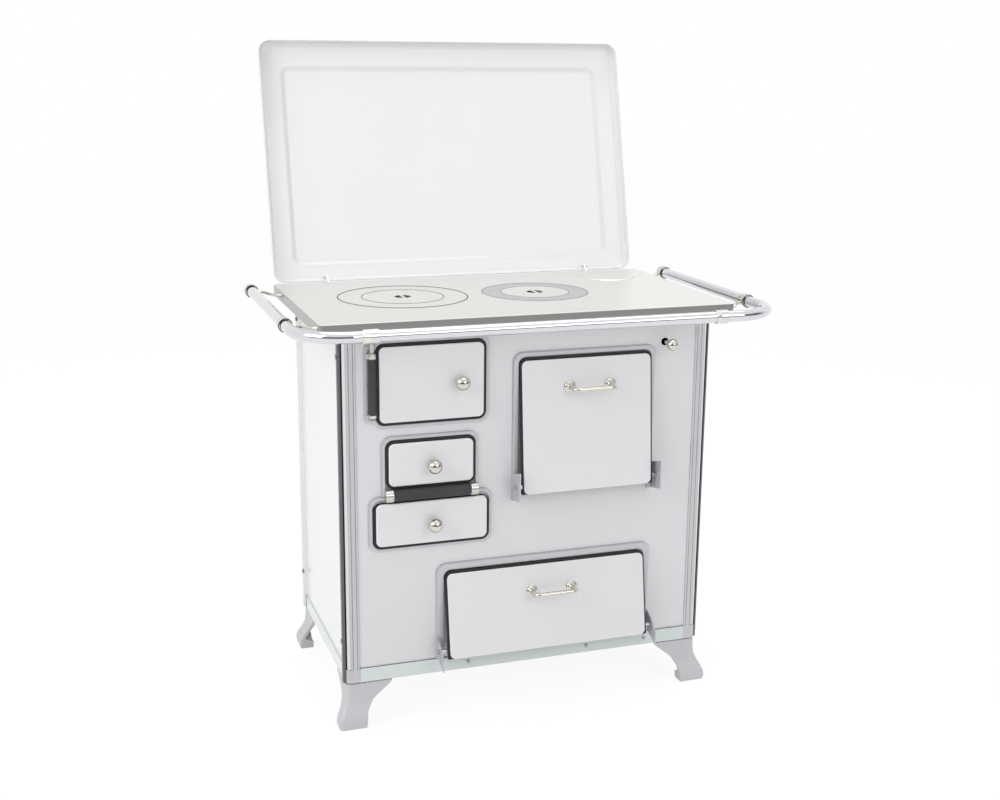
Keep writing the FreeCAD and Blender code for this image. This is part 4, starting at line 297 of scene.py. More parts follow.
def polished(name, color, roughness, marks, along, metallic=1.0, painted_edge_amount=0.0, side_tone_and_shade_color=None,
             left_lit_color=None):
    """Rubbed or plated metal; the side colour is on the sides, left where only the level top was ground and darker
    partly as painted shade; the end colour is painted light on the sides that face left; the edge colour paints
    shade along the edges.
    """
    material, tree, shader = new_material(name)
    skin = place_group(tree, polish_marks, Color=color, Roughness=roughness, Marks=marks,
                       Along_X=along[0], Along_Y=along[1], Along_Z=along[2])
    surface = skin.outputs["Color"]
    if side_tone_and_shade_color:
        # Darker sides: partly the unground finish, partly painted shade.
        surface = turned_tint(tree, surface, side_tone_and_shade_color, UPWARD, 0.6, 0.9)
        # Painted light: the sides that face left, toward the left lamp, take the lighter end colour.
        surface = toward_tint(tree, surface, left_lit_color, LEFTWARD, 0.4, 0.9)
    if painted_edge_amount:
        surface = paint_edge_light(tree, surface, (0.10, 0.10, 0.10, 1.0), 0.001, painted_edge_amount)
    join(tree, surface, shader.inputs["Base Color"])
    join(tree, skin.outputs["Roughness"], shader.inputs["Roughness"])
    raise_bumps(tree, shader, skin.outputs["Height"], 0.000002, 0.1)
    shader.inputs["Metallic"].default_value = metallic
    return material


# The edge colour is a painted highlight along the casting's edges.
def cast(name, color, dust=0.2, grit=1.0, metallic=0.0, edge=(0.25, 0.25, 0.26, 1.0), painted_edge_amount=0.4):
    material, tree, shader = new_material(name)
    skin = place_group(tree, cast_skin, Color=color, Dust=dust, Grit=grit)
    join(tree, paint_edge_light(tree, skin.outputs["Color"], edge, 0.0012, painted_edge_amount), shader.inputs["Base Color"])
    join(tree, skin.outputs["Roughness"], shader.inputs["Roughness"])
    raise_bumps(tree, shader, skin.outputs["Height"], 0.0003, 0.5)
    shader.inputs["Metallic"].default_value = metallic
    return material


materials = {
    # white_enamel: a painted highlight in the lighter turned colour on edges and faces turned from the front.
    "white_enamel": enamel("white_enamel", (0.79, 0.79, 0.81, 1.0), turned_shading_color=(0.93, 0.93, 0.94, 1.0)),
    # side_enamel is lighter than the covers' white, partly as painted light on the side that faces the left lamp.
    "side_enamel": enamel("side_enamel", (0.86, 0.86, 0.865, 1.0)),
    "grey_enamel": enamel("grey_enamel", (0.75, 0.75, 0.77, 1.0), gloss=0.22),
    "pale_enamel": enamel("pale_enamel", (0.70, 0.765, 0.76, 1.0), painted_edge_amount=0.3),
    # Painted light and shade on the rims: the lighter turned colour and the darker upper left colour.
    "rim_enamel": enamel("rim_enamel", (0.60, 0.60, 0.625, 1.0), gloss=0.26, painted_edge_amount=0.0,
                         turned_shading_color=(0.66, 0.66, 0.69, 1.0), upper_left_color=(0.46, 0.46, 0.49, 1.0)),
    # The legs' lighter edge colour is a painted highlight.
    "leg_paint": cast("leg_paint", (0.62, 0.615, 0.64, 1.0), dust=0.10, grit=0.4, metallic=0.2,
                      edge=(0.80, 0.80, 0.82, 1.0)),
    "black_enamel": enamel("black_enamel", (0.008, 0.008, 0.011, 1.0), gloss=0.5, painted_edge_amount=0.0, coat=0.0,
                           shine=0.15),
    "chromed_steel": polished("chromed_steel", (0.72, 0.72, 0.75, 1.0), 0.05, 0.03, (1.0, 1.0, 0.3)),
    "nickel": polished("nickel", (0.68, 0.655, 0.59, 1.0), 0.08, 0.04, (1.0, 1.0, 1.0)),
    # On the ground and grey irons the side colour is darker partly as painted shade, and the end colour is painted
    # light on the sides facing left.
    "ground_iron": polished("ground_iron", (0.80, 0.80, 0.775, 1.0), 0.30, 0.03, (0.1, 1.0, 1.0),
                            metallic=0.55, side_tone_and_shade_color=(0.27, 0.265, 0.255, 1.0),
                            left_lit_color=(0.42, 0.415, 0.41, 1.0)),
    "grey_iron": polished("grey_iron", (0.56, 0.56, 0.56, 1.0), 0.34, 0.05, (1.0, 0.3, 1.0),
                          metallic=0.55, side_tone_and_shade_color=(0.12, 0.12, 0.12, 1.0),
                          left_lit_color=(0.14, 0.14, 0.14, 1.0)),
    "zinc_steel": polished("zinc_steel", (0.55, 0.55, 0.57, 1.0), 0.25, 0.10, (1.0, 1.0, 1.0)),
    "plain_steel": polished("plain_steel", (0.32, 0.32, 0.33, 1.0), 0.38, 0.12, (1.0, 0.1, 1.0)),
    "black_iron": cast("black_iron", (0.010, 0.010, 0.013, 1.0), dust=0.02, grit=0.5, painted_edge_amount=0.05),
    "raw_iron": cast("raw_iron", (0.06, 0.058, 0.056, 1.0), dust=0.5, metallic=0.3),
    "fire_clay": cast("fire_clay", (0.50, 0.40, 0.29, 1.0), dust=0.8, grit=1.5,
                      edge=(0.7, 0.6, 0.48, 1.0)),
}

# Finishes of the same stuff where one piece is seen to differ from the rest of its slot, mostly lighter and darker
# copies that paint light and shade.
own_finishes = {
    # Painted light: a lighter copy of the enamel for the lid and the back posts' returns.
    "lit_enamel": enamel("lit_enamel", (0.84, 0.84, 0.845, 1.0)),
    # Darker chrome for the posts' faces, shoes and the fire pin's end: partly a satin finish, partly painted
    # shade.
    "satin_shaded_chrome": polished("satin_shaded_chrome", (0.55, 0.55, 0.57, 1.0), 0.16, 0.05, (1.0, 1.0, 0.05)),
    # Painted shade: near-black chrome for the front posts' returns and the strip's shadow gap.
    "shadow_chrome": polished("shadow_chrome", (0.14, 0.14, 0.145, 1.0), 0.22, 0.08, (1.0, 1.0, 0.05)),
    "pale_nickel": polished("pale_nickel", (0.86, 0.84, 0.77, 1.0), 0.22, 0.06, (1.0, 1.0, 1.0)),
    # Painted shadow: the black of the dark rings in the cooking holes' joints.
    "joint_shadow": cast("joint_shadow", (0.03, 0.03, 0.03, 1.0), dust=0.1, grit=0.6, painted_edge_amount=0.0),
    "barrel_iron": cast("barrel_iron", (0.055, 0.055, 0.06, 1.0), dust=0.05, grit=0.3, metallic=0.4),
}

node_slots = {item["node"]: item["material_slot"] for item in frame["record"]["subparts"]}


def dress(thing, material):
    """Give every surface of a piece one finish."""
    mesh = thing.data
    if not mesh.materials:
        mesh.materials.append(material)
    for place in range(len(mesh.materials)):
        mesh.materials[place] = material


for node_name, thing in nodes.items():
    dress(thing, materials[node_slots[node_name]])
dress(nodes["lid_hinges"], materials["white_enamel"])


# Making pieces.

def new_piece(name, body, slot, mesh, replaced=(), sharp=40, finish=None):
    """An object with smooth faces and sharp folds, riding on a body of the frame."""
    thing = bpy.data.objects.new(name, mesh)
    bpy.context.scene.collection.objects.link(thing)
    mesh.validate()
    mesh.shade_smooth()
    mesh.set_sharp_from_angle(angle=math.radians(sharp))
    dress(thing, own_finishes[finish] if finish else materials[slot])
    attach(thing, body)
    if replaced:
        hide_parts(*replaced)
    return thing


def mesh_from(name, shape):
    """Close a bmesh into a mesh with its faces turned outward."""
    bmesh.ops.remove_doubles(shape, verts=shape.verts, dist=1e-6)
    bmesh.ops.recalc_face_normals(shape, faces=shape.faces)
    mesh = bpy.data.meshes.new(name)
    shape.to_mesh(mesh)
    shape.free()
    return mesh


def bridge_loops(shape, loops):
    """Quads between neighbouring loops of the same count."""
    count = len(loops[0])
    for lower, upper in zip(loops, loops[1:]):
        for step in range(count):
            following = (step + 1) % count
            corners = [lower[step], lower[following], upper[following], upper[step]]
            if len(set(corners)) > 2:
                shape.faces.new(corners)


def turned(shape, profile, matrix, steps=40, ends=True):
    """Turn a profile of (radius, height) about the matrix's Z axis; a zero radius closes an end."""
    loops = []
    for radius, height in profile:
        loops.append([
            shape.verts.new(matrix @ Vector((radius * math.cos(turn), radius * math.sin(turn), height)))
            for turn in (2 * math.pi * step / steps for step in range(steps))
        ])
    bridge_loops(shape, loops)
    for loop, (radius, height) in ((loops[0], profile[0]), (loops[-1], profile[-1])):
        if ends and radius > 1e-7:
            shape.faces.new(loop)


def turned_ring(shape, profile, matrix, steps=96):
    """Turn a closed profile of (radius, height) about the matrix's Z axis."""
    turned(shape, profile + profile[:1], matrix, steps, ends=False)


def axis_frame(place, direction):
    """A matrix whose Z axis points along the direction."""
    turn = Vector(direction).to_track_quat("Z", "Y").to_matrix().to_4x4()
    return Matrix.Translation(place) @ turn


def arc_profile(centre_radius, centre_height, radius, start, end, steps):
    """Points of a round edge in a turned profile, by angle from the outward direction."""
    points = []
    for step in range(steps + 1):
        turn = math.radians(start + (end - start) * step / steps)
        points.append((centre_radius + radius * math.cos(turn), centre_height + radius * math.sin(turn)))
    return points


def swept(shape, path, radius, sides):
    """A round bar along a path of points; the radius is one number or one for each point."""
    radii = radius if isinstance(radius, list) else [radius] * len(path)
    loops = []
    across = None
    for place, point in enumerate(path):
        ahead = path[min(place + 1, len(path) - 1)] - path[max(place - 1, 0)]
        ahead.normalize()
        if across is None:
            across = ahead.orthogonal().normalized()
        across = (across - ahead * across.dot(ahead)).normalized()
        other = ahead.cross(across)
        loops.append([
            shape.verts.new(point + (across * math.cos(turn) + other * math.sin(turn)) * radii[place])
            for turn in (2 * math.pi * step / sides for step in range(sides))
        ])
    bridge_loops(shape, loops)
    shape.faces.new(loops[0])
    shape.faces.new(loops[-1])


def smooth_path(points, reach, steps):
    """The path with each corner replaced by a curve that starts at the reach from it."""
    path = [points[0].copy()]
    for before, corner, after in zip(points, points[1:], points[2:]):
        near = corner + (before - corner).normalized() * reach
        far = corner + (after - corner).normalized() * reach
        for step in range(steps + 1):
            share = step / steps
            path.append(near * (1 - share) ** 2 + corner * 2 * share * (1 - share) + far * share ** 2)
    path.append(points[-1].copy())
    return path


def rounded_loop(left, right, low, high, corner, steps=7, straight=6):
    """Points round a rectangle with round corners, starting at the right end of the low side."""
    points = []
    centres = [(right - corner, low + corner, -90), (right - corner, high - corner, 0),
               (left + corner, high - corner, 90), (left + corner, low + corner, 180)]
    for place, (x, y, start) in enumerate(centres):
        for step in range(steps + 1):
            turn = math.radians(start + 90 * step / steps)
            points.append((x + corner * math.cos(turn), y + corner * math.sin(turn)))
        following = centres[(place + 1) % 4]
        turn = math.radians(following[2])
        begin = Vector(points[-1])
        end = Vector((following[0] + corner * math.cos(turn), following[1] + corner * math.sin(turn)))
        for step in range(1, straight):
            points.append(tuple(begin.lerp(end, step / straight)))
    return points


# The lid: a pressed pan with a round rim and a raised middle.

LID_TILT = math.radians(103.75)


def soft_step(share):
    return share * share * (3 - 2 * share)


def make_lid():
    hinge = next(joint for joint in frame["joints"] if joint["child"] == "lid")
    opened = Matrix.Translation(hinge["pos_m"]) @ Matrix.Rotation(-LID_TILT, 4, "X")
    half = 414 * MM
    hinge_edge, free_edge = 8.7 * MM, -512.3 * MM
    low, top, rise = -4.4 * MM, 20.6 * MM, 5 * MM
    rim = 13 * MM
    borders = (46 * MM, 46 * MM, 50 * MM, 36 * MM)
    corner, least_corner = 26 * MM, 3 * MM
    slope, slope_corner, slope_narrowing = 14 * MM, 20, 8
    rings = [(0.0, low), (0.0, low + 4 * MM), (0.0, top - rim)]
    for step in range(1, 9):
        turn = math.pi / 2 * step / 8
        rings.append((rim - rim * math.cos(turn), top - rim + rim * math.sin(turn)))
    shape = bmesh.new()
    loops = []
    for inset, height in rings:
        outline = rounded_loop(-half + inset, half - inset, free_edge + inset, hinge_edge - inset,
                               max(corner - inset, least_corner))
        loops.append([shape.verts.new(opened @ Vector((x, y, height))) for x, y in outline])
    for step in range(9):
        share = step / 8
        reach = share * slope
        left, right, front, rear = (border - 2 * MM + reach for border in borders)
        outline = rounded_loop(-half + left, half - right, free_edge + front, hinge_edge - rear,
                               (slope_corner - slope_narrowing * share) * MM)
        height = top + rise * soft_step(share)
        loops.append([shape.verts.new(opened @ Vector((x, y, height))) for x, y in outline])
    bridge_loops(shape, loops)
    shape.faces.new(loops[-1])
    mesh = mesh_from("lid_pan", shape)
    # The pan takes the lighter enamel copy, painted light.
    pan = new_piece("lid_pan", "lid", "white_enamel", mesh, ["lid"], sharp=50, finish="lit_enamel")
    skin = pan.modifiers.new("skin", "SOLIDIFY")
    skin.thickness = 1.5 * MM
    skin.offset = -1


# Knobs and handles.

KNOB_BALL, KNOB_STAND, KNOB_NECK = 14.5, 17.5, 5.6


def make_knob(name, x, z, face, body, replaced):
    """Turned knob: a low foot, a short neck and a ball that stands close to the cover."""
    shape = bmesh.new()
    profile = [(0.0, 0.0), (8.6, 0.0), (9.0, 0.6), (8.6, 1.4), (7.0, 2.2), (5.9, 3.0)]
    ball_start = -math.degrees(math.acos(KNOB_NECK / KNOB_BALL))
    profile += arc_profile(0.0, KNOB_STAND, KNOB_BALL, ball_start, 90, 20)
    profile = [(max(radius, 0.0) * MM, height * MM) for radius, height in profile]
    turned(shape, profile, axis_frame(Vector((x * MM, face * MM, z * MM)), (0, -1, 0)), 48)
    new_piece(name, body, "nickel", mesh_from(name, shape), replaced)


def node_middle(node):
    low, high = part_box(node)
    return (low + high) / 2


def make_knobs():
    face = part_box("fire_door_cover")[0].y / MM
    for door in ("fire_door", "middle_door", "ash_drawer"):
        middle = node_middle(door + "_knob") / MM
        make_knob(door + "_pull", middle.x, middle.z, face, door, [door + "_knob"])


# Door handles: a drooping bar between two roses.

HANDLE_SPAN = 85.0
BAR_STAND, BAR_DROP, BAR_BEND = 31.0, 3.2, 11.0
ROSE = [(0.0, 0.0), (12.0, 0.0), (12.2, 0.7), (11.8, 1.6), (10.4, 2.1), (9.9, 2.9), (8.6, 3.9), (7.0, 4.5),
        (6.4, 5.3), (5.2, 6.6), (4.6, 8.2), (0.0, 8.2)]


def make_handle(name, door, lean, face, up, right):
    """The bar leaves each rose straight out, bends and runs across a little lower."""
    hinge = next(joint for joint in frame["joints"] if joint["child"] == door)
    pivot = Vector(hinge["pos_m"])
    leaned = Matrix.Translation(pivot) @ Matrix.Rotation(math.radians(-lean), 4, "X")
    shape = bmesh.new()
    half = HANDLE_SPAN / 2
    for side in (-1, 1):
        rose = leaned @ Vector(((right + side * half) * MM, -face * MM, up * MM))
        out = (leaned.to_3x3() @ Vector((0, -1, 0))).normalized()
        turned(shape, [(radius * MM, height * MM) for radius, height in ROSE], axis_frame(rose, out), 44)
    corners = [(right - half, 2.0, 0.0), (right - half, BAR_STAND, -BAR_DROP),
               (right + half, BAR_STAND, -BAR_DROP), (right + half, 2.0, 0.0)]
    points = [leaned @ Vector((x * MM, -(face + reach) * MM, (up + drop) * MM)) for x, reach, drop in corners]
    path = smooth_path(points, BAR_BEND * MM, 10)
    length = len(path)
    radii = []
    for place in range(length):
        share = abs(2 * place / (length - 1) - 1)
        radii.append((4.9 - 0.5 * share) * MM)
    swept(shape, path, radii, 24)
    new_piece(name, door, "nickel", mesh_from(name, shape), [door + "_handle"])


def make_handles():
    make_handle("oven_pull", "oven_door", lean=5.0, face=5.7, up=192.5, right=4.5)
    make_handle("wood_pull", "wood_door", lean=9.0, face=12.8, up=103.0, right=7.5)


# Cast legs.

LEG_HEIGHT, FOOT_HEIGHT, LEG_WALL, LEG_CURVE = 89.0, 22.0, 9.0, 7.0
LEG_OUTSIDE = [(0.0, -17.0), (6.0, -19.4), (11.0, -20.0), (23.0, -17.0), (40.0, -8.0), (55.0, -2.0),
               (72.0, -0.4), (89.0, 0.0)]
LEG_INSIDE = [(0.0, 36.0), (16.0, 37.0), (33.0, 40.0), (53.0, 52.0), (70.0, 73.0), (83.0, 90.0),
              (89.0, 92.0)]
LEG_INSIDE_NARROW = [(0.0, 10.0), (16.0, 11.0), (33.0, 16.0), (53.0, 36.0), (70.0, 64.0), (83.0, 88.0),
                     (89.0, 92.0)]


def along_table(table, height):
    """Straight-line reading of a table of (height, reach)."""
    for (low, first), (high, second) in zip(table, table[1:]):
        if height <= high:
            return first + (second - first) * (height - low) / (high - low)
    return table[-1][1]


def smooth_table(table, height):
    """The table's reading averaged over a short stretch, so that it has no kinks."""
    spots = [min(max(height + step * 1.5, table[0][0]), table[-1][0]) for step in range(-3, 4)]
    return sum(along_table(table, spot) for spot in spots) / len(spots)


def make_leg(name, side, end):
    """Cast leg of two wings: the broad one faces the front on a front leg and the side on a back one."""
    tables = (LEG_INSIDE, LEG_INSIDE_NARROW) if end < 0 else (LEG_INSIDE_NARROW, LEG_INSIDE)
    corner_x = HALF * MM * side
    corner_y = cad_front if end < 0 else cad_back
    shape = bmesh.new()
    loops = []
    heights = [0.0, 1.5, 4.0, 7.0, 10.0, 14.0, 18.0, FOOT_HEIGHT]
    heights += [FOOT_HEIGHT + (LEG_HEIGHT - FOOT_HEIGHT) * step / 26 for step in range(1, 27)]
    for height in heights:
        outside = smooth_table(LEG_OUTSIDE, height)
        across, behind = (smooth_table(table, height) for table in tables)
        wall = LEG_WALL
        if height < FOOT_HEIGHT:
            solid = min(1.0, (FOOT_HEIGHT - height) / 6.0)
            wall += (min(across, behind) - outside - LEG_WALL) * solid
        curve = LEG_CURVE
        section = [
            (outside + curve + curve * math.cos(turn), outside + curve + curve * math.sin(turn))
            for turn in (math.radians(180 + 15 * step) for step in range(7))
        ]
        for share in (0.35, 0.7, 1.0):
            section.append((outside + curve + (across - outside - curve) * share, outside))
        section += [(across, outside + wall * 0.5), (across, outside + wall),
                    (outside + wall, outside + wall), (outside + wall, behind),
                    (outside + wall * 0.5, behind)]
        for share in (1.0, 0.7, 0.35):
            section.append((outside, outside + curve + (behind - outside - curve) * share))
        loops.append([
            shape.verts.new(Vector((corner_x - side * x * MM, corner_y - end * y * MM, height * MM)))
            for x, y in section
        ])
    bridge_loops(shape, loops)
    shape.faces.new(loops[0])
    shape.faces.new(loops[-1])
    leg = new_piece(name.replace("_leg", "_foot"), "root", "leg_paint", mesh_from(name + "_casting", shape),
                    [name], sharp=48)
    soft = leg.modifiers.new("soft_edges", "BEVEL")
    soft.width = 1.6 * MM
    soft.segments = 3
    soft.limit_method = "ANGLE"
    soft.angle_limit = math.radians(48)


def make_leg_plate(name, side, end):
    """Dark sheet between a leg and the casing's floor."""
    reach, inset = 97.0, 1.5
    corner_y = cad_front if end < 0 else cad_back
    shape = bmesh.new()
    loops = []
    for height, grow in ((89.0, -0.4), (89.3, 0.0), (91.4, 0.0), (91.8, -0.4)):
        outline = rounded_loop(inset - grow, reach + grow, inset - grow, reach + grow, 6.0, steps=5,
                               straight=1)
        loops.append([
            shape.verts.new(Vector((side * (HALF - x) * MM, corner_y - end * y * MM, height * MM)))
            for x, y in outline
        ])
    bridge_loops(shape, loops)
    shape.faces.new(loops[0])
    shape.faces.new(loops[-1])
    new_piece(name, "root", "black_iron", mesh_from(name, shape))


def make_legs():
    for end, word in ((-1, "front"), (1, "back")):
        for side, hand in ((-1, "left"), (1, "right")):
            make_leg(f"{word}_{hand}_leg", side, end)
            make_leg_plate(f"{word}_{hand}_leg_plate", side, end)


# Screws.

def make_screw(name, place, direction, replaced=(), washer="black_iron"):
    """Pan-head screw with a cross in its head, on a cupped washer."""
    matrix = axis_frame(Vector(place), direction)
    cup = bmesh.new()
    turned_ring(cup, [(2.6 * MM, 0.0), (5.0 * MM, 0.0), (5.0 * MM, 0.5 * MM), (4.2 * MM, 1.1 * MM),
                      (2.6 * MM, 0.9 * MM)], matrix, 32)
    new_piece(name + "_washer", "root", washer, mesh_from(name + "_washer", cup))
    head = bmesh.new()
    radius = 3.1 * MM
    profile = [(0.0, 0.4 * MM), (radius, 0.4 * MM), (radius, 1.0 * MM)]
    profile += [(radius * math.cos(turn), 1.0 * MM + 1.3 * MM * math.sin(turn))
                for turn in (math.radians(15 * step) for step in range(1, 7))]
    turned(head, profile, matrix, 28)
    new_piece(name, "root", "zinc_steel", mesh_from(name, head), replaced, sharp=35)
    # The cross is black bars set into the head: painted shade for the recess of its slot.
    cross = bmesh.new()
    for turn in (0.6, 0.6 + math.pi / 2):
        spin = matrix @ Matrix.Rotation(turn, 4, "Z")
        corners = []
        for height in (1.9 * MM, 2.35 * MM):
            for x, y in ((-0.6, -0.13), (0.6, -0.13), (0.6, 0.13), (-0.6, 0.13)):
                corners.append(cross.verts.new(spin @ Vector((x * radius, y * radius, height))))
        for sides in ((0, 1, 2, 3), (4, 5, 6, 7), (0, 1, 5, 4), (1, 2, 6, 5), (2, 3, 7, 6), (3, 0, 4, 7)):
            cross.faces.new([corners[side] for side in sides])
    new_piece(name + "_cross", "root", "black_iron", mesh_from(name + "_cross", cross))


POST_SCREW_LEVELS = (176.0, 743.0)
POST_SCREW_INSET = 15.0
SCREW_SINK, STRIP_PROUD = 0.4, 3.0
STRIP_SCREWS = (-128.0, 127.0, 257.0)
STRIP_SCREW_LEVEL = 106.0


def make_screws():
    """Two in each post's side and three in the front lip."""
    replaced = ["casing_screws"]
    inset = POST_SCREW_INSET * MM
    for side, hand in ((-1, "left"), (1, "right")):
        x = side * (HALF + RIB_PROUD - SCREW_SINK) * MM
        for y, word in ((cad_front + inset, "front"), (cad_back - inset, "back")):
            for number, level in enumerate(POST_SCREW_LEVELS, 1):
                make_screw(f"{word}_{hand}_screw_{number}", (x, y, level * MM), (side, 0, 0), replaced)
                replaced = ()
    for number, x in enumerate(STRIP_SCREWS, 1):
        make_screw(f"strip_screw_{number}", (x * MM, cad_front - STRIP_PROUD * MM, STRIP_SCREW_LEVEL * MM),
                   (0, -1, 0), washer="zinc_steel")


# Corner posts: a bright bead round the corner, a ribbed face and a ribbed return along the side; the face and the
# front returns take darker chrome copies painted as shade.

def corner_point(side, end, inward, behind, height):
    """A place by its distances in from a post's two outer faces."""
    edge = cad_front - POST_SHEET * MM if end < 0 else cad_back + POST_SHEET * MM
    return Vector((side * (HALF - inward) * MM, edge - end * behind * MM, height * MM))


def make_section(name, slot, side, end, section, low, high, replaced=(), finish=None, sharp=40):
    """A closed section of (inward, behind) points, drawn up from a low to a high place."""
    shape = bmesh.new()
    loops = [[shape.verts.new(corner_point(side, end, x, y, height)) for x, y in section]
             for height in (low, high)]
    bridge_loops(shape, loops)
    for loop in loops:
        shape.faces.new(loop)
    new_piece(name, "root", slot, mesh_from(name, shape), replaced, sharp, finish)


def corner_arc(reach, start, end, steps=8):
    """Points of the round corner, from 0 degrees at the side to 90 at the front."""
    turns = (math.radians(start + (end - start) * step / steps) for step in range(steps + 1))
    return [(POST_ROUND - reach * math.cos(turn), POST_ROUND - reach * math.sin(turn)) for turn in turns]


def ribbed_face():
    """The front leg's outline: two shallow grooves leave a flat rib between them."""
    front = corner_arc(POST_ROUND, 72, 90) + [
        (12.6, 0.0), (13.4, 1.0), (14.2, 0.0), (21.4, 0.0), (22.2, 1.0), (23.0, 0.0), (POST_LEG - 0.6, 0.0),
        (POST_LEG, 0.6), (POST_LEG, POST_SHEET)]
    return front + corner_arc(POST_ROUND - POST_SHEET, 90, 72)


def ribbed_return():
    """The side leg's outline, with the proud rib that carries the screws."""
    top = -RIB_PROUD
    rib = [(0.0, 21.0), (top + 1.6, 19.6), (top, 17.6), (top, 14.8), (top + 1.2, 13.6), (top, 12.4),
           (top, 8.0), (top + 1.6, 6.2), (-0.6, 5.0)]
    inner = corner_arc(POST_ROUND - POST_SHEET, 40, 0) + [(POST_SHEET, POST_LEG)]
    return [(0.6, POST_LEG), (0.0, POST_LEG - 0.6)] + rib + corner_arc(POST_ROUND, 12, 40) + inner


def corner_bead():
    """The bright part of the round corner, between the two leaves."""
    return corner_arc(POST_ROUND, 40, 72) + corner_arc(POST_ROUND - POST_SHEET, 72, 40)


def cap_section(grow):
    """Outline of the shoe round a post's foot, a little outside the post."""
    reach = POST_ROUND + grow
    arc = [(POST_ROUND - reach * math.sin(turn), POST_ROUND - reach * math.cos(turn))
           for turn in (math.radians(9 * step) for step in range(11))]
    leg = POST_LEG + grow / 2
    inner = [(POST_SHEET, leg), (POST_SHEET, POST_SHEET), (leg, POST_SHEET)]
    return [(leg, -grow)] + arc + [(-grow, leg)] + inner


def make_posts():
    for end, word in ((-1, "front"), (1, "back")):
        for side, hand in ((-1, "left"), (1, "right")):
            node = f"{word}_{hand}_post"
            make_section(node + "_face", "chromed_steel", side, end, ribbed_face(), POST_LOW, POST_HIGH,
                         [node], "satin_shaded_chrome", 25)
            make_section(node + "_bead", "chromed_steel", side, end, corner_bead(), POST_LOW, POST_HIGH)
            make_section(node + "_return", "chromed_steel", side, end, ribbed_return(), POST_LOW, POST_HIGH,
                         # The front returns are near-black, painted shade; the back returns take the lighter
                         # enamel copy, painted light.
                         finish="shadow_chrome" if end < 0 else "lit_enamel", sharp=25)
            make_section(node + "_shoe", "chromed_steel", side, end, cap_section(1.2), POST_LOW, STRIP_TOP,
                         finish="satin_shaded_chrome")


# Dark rings painted as the shadow in the joints of the cooking holes.

def make_joint_line(name, body, node, wide, proud):
    """A dark ring painted as the shadow in the joint round a loose plate, standing a hair above the hob."""
    low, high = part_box(node)
    middle = (low + high) / 2
    reach = (high.x - low.x) / 2
    shape = bmesh.new()
    profile = [(reach - 0.3 * MM, -0.3 * MM), (reach - 0.3 * MM, proud * 0.7 * MM), (reach, proud * MM),
               (reach + wide * 0.6 * MM, proud * MM), (reach + wide * MM, proud * 0.5 * MM),
               (reach + wide * MM, 0.05 * MM)]
    turned_ring(shape, profile, Matrix.Translation(Vector((middle.x, middle.y, high.z))), 128)
    new_piece(name, body, "raw_iron", mesh_from(name, shape), finish="joint_shadow")


def make_joint_lines():
    make_joint_line("left_ring_joint", "root", "left_ring", 1.8, 0.7)
    make_joint_line("left_disc_joint", "left_ring", "left_disc", 1.2, 0.45)
    make_joint_line("right_ring_joint", "root", "right_ring", 1.0, 0.4)
    make_joint_line("right_disc_joint", "right_ring", "right_disc", 0.8, 0.25)


# Hinges of the upright doors.

def make_barrel(name, slot, body, start, end, radius, ends, finish=None):
    """A round barrel between two places; its ends narrow by the given amount."""
    shape = bmesh.new()
    length = (end - start).length
    soft = ends * MM
    profile = [(0.0, 0.0), (radius - soft, 0.0), (radius, soft), (radius, length - soft),
               (radius - soft, length), (0.0, length)]
    turned(shape, profile, axis_frame(start, end - start), 40)
    new_piece(name, body, slot, mesh_from(name, shape), finish=finish)


# Each row is a name, slot, body, low and high end, radius, end narrowing and finish.
FIRE_BARRELS = [
    ("fire_cap_lower", "nickel", "root", 627.3, 633.4, 7.8, 1.6, None),
    ("fire_cap_upper", "nickel", "root", 741.1, 748.0, 7.8, 1.6, None),
    ("fire_cap_neck", "nickel", "root", 748.0, 752.5, 5.6, 1.2, None),
    ("fire_pin_end", "nickel", "root", 752.5, 776.0, 4.4, 1.0, "satin_shaded_chrome"),
    ("fire_barrel_sleeve", "black_iron", "fire_door", 634.2, 740.3, 7.25, 0.8, "barrel_iron"),
]
MIDDLE_COLLARS = (("left", -297.4, -282.5), ("right", -113.2, -128.2))
MIDDLE_SLEEVE = (-281.6, -129.1)
BAND_PLACES, BAND_HALF = (4.5, 10.5), 0.7


def make_fire_hinge():
    """Nickel caps above and below the firing door's dark barrel, and the pin's end over them."""
    hinge = next(joint for joint in frame["joints"] if joint["child"] == "fire_door")
    x, y = hinge["pos_m"][0], hinge["pos_m"][1]
    for name, slot, body, low, high, radius, ends, finish in FIRE_BARRELS:
        make_barrel(name, slot, body, Vector((x, y, low * MM)), Vector((x, y, high * MM)), radius * MM, ends,
                    finish)


def make_middle_hinge():
    """Nickel collars at both ends of the middle door's dark barrel."""
    hinge = next(joint for joint in frame["joints"] if joint["child"] == "middle_door")
    y, z = hinge["pos_m"][1], hinge["pos_m"][2]

    def at(x):
        return Vector((x * MM, y, z))

    for hand, outer, inner in MIDDLE_COLLARS:
        make_barrel(f"middle_collar_{hand}", "nickel", "root", at(outer), at(inner), 12.5 * MM, 1.2)
        step = 1 if inner > outer else -1
        for number, spot in enumerate((outer + step * place for place in BAND_PLACES), 1):
            make_barrel(f"middle_collar_{hand}_band_{number}", "zinc_steel", "root", at(spot - BAND_HALF),
                        at(spot + BAND_HALF), 12.9 * MM, 0.3)
    start, end = (at(x) for x in MIDDLE_SLEEVE)
    make_barrel("middle_barrel_sleeve", "black_iron", "middle_door", start, end, 11.3 * MM, 0.8,
                "barrel_iron")


# Handrail collars.

RAIL_Z = 807.0
RAIL_SIDE = 473.0
RAIL_BORE = 11.05
RING_APART, RING_MIDDLE, RING_ROUND = 8.7, 12.7, 0.8
REAR_COLLAR_INSET = 8.0
FRONT_COLLARS = {"left": (-362.0, -333.5), "right": (326.0, 350.5)}


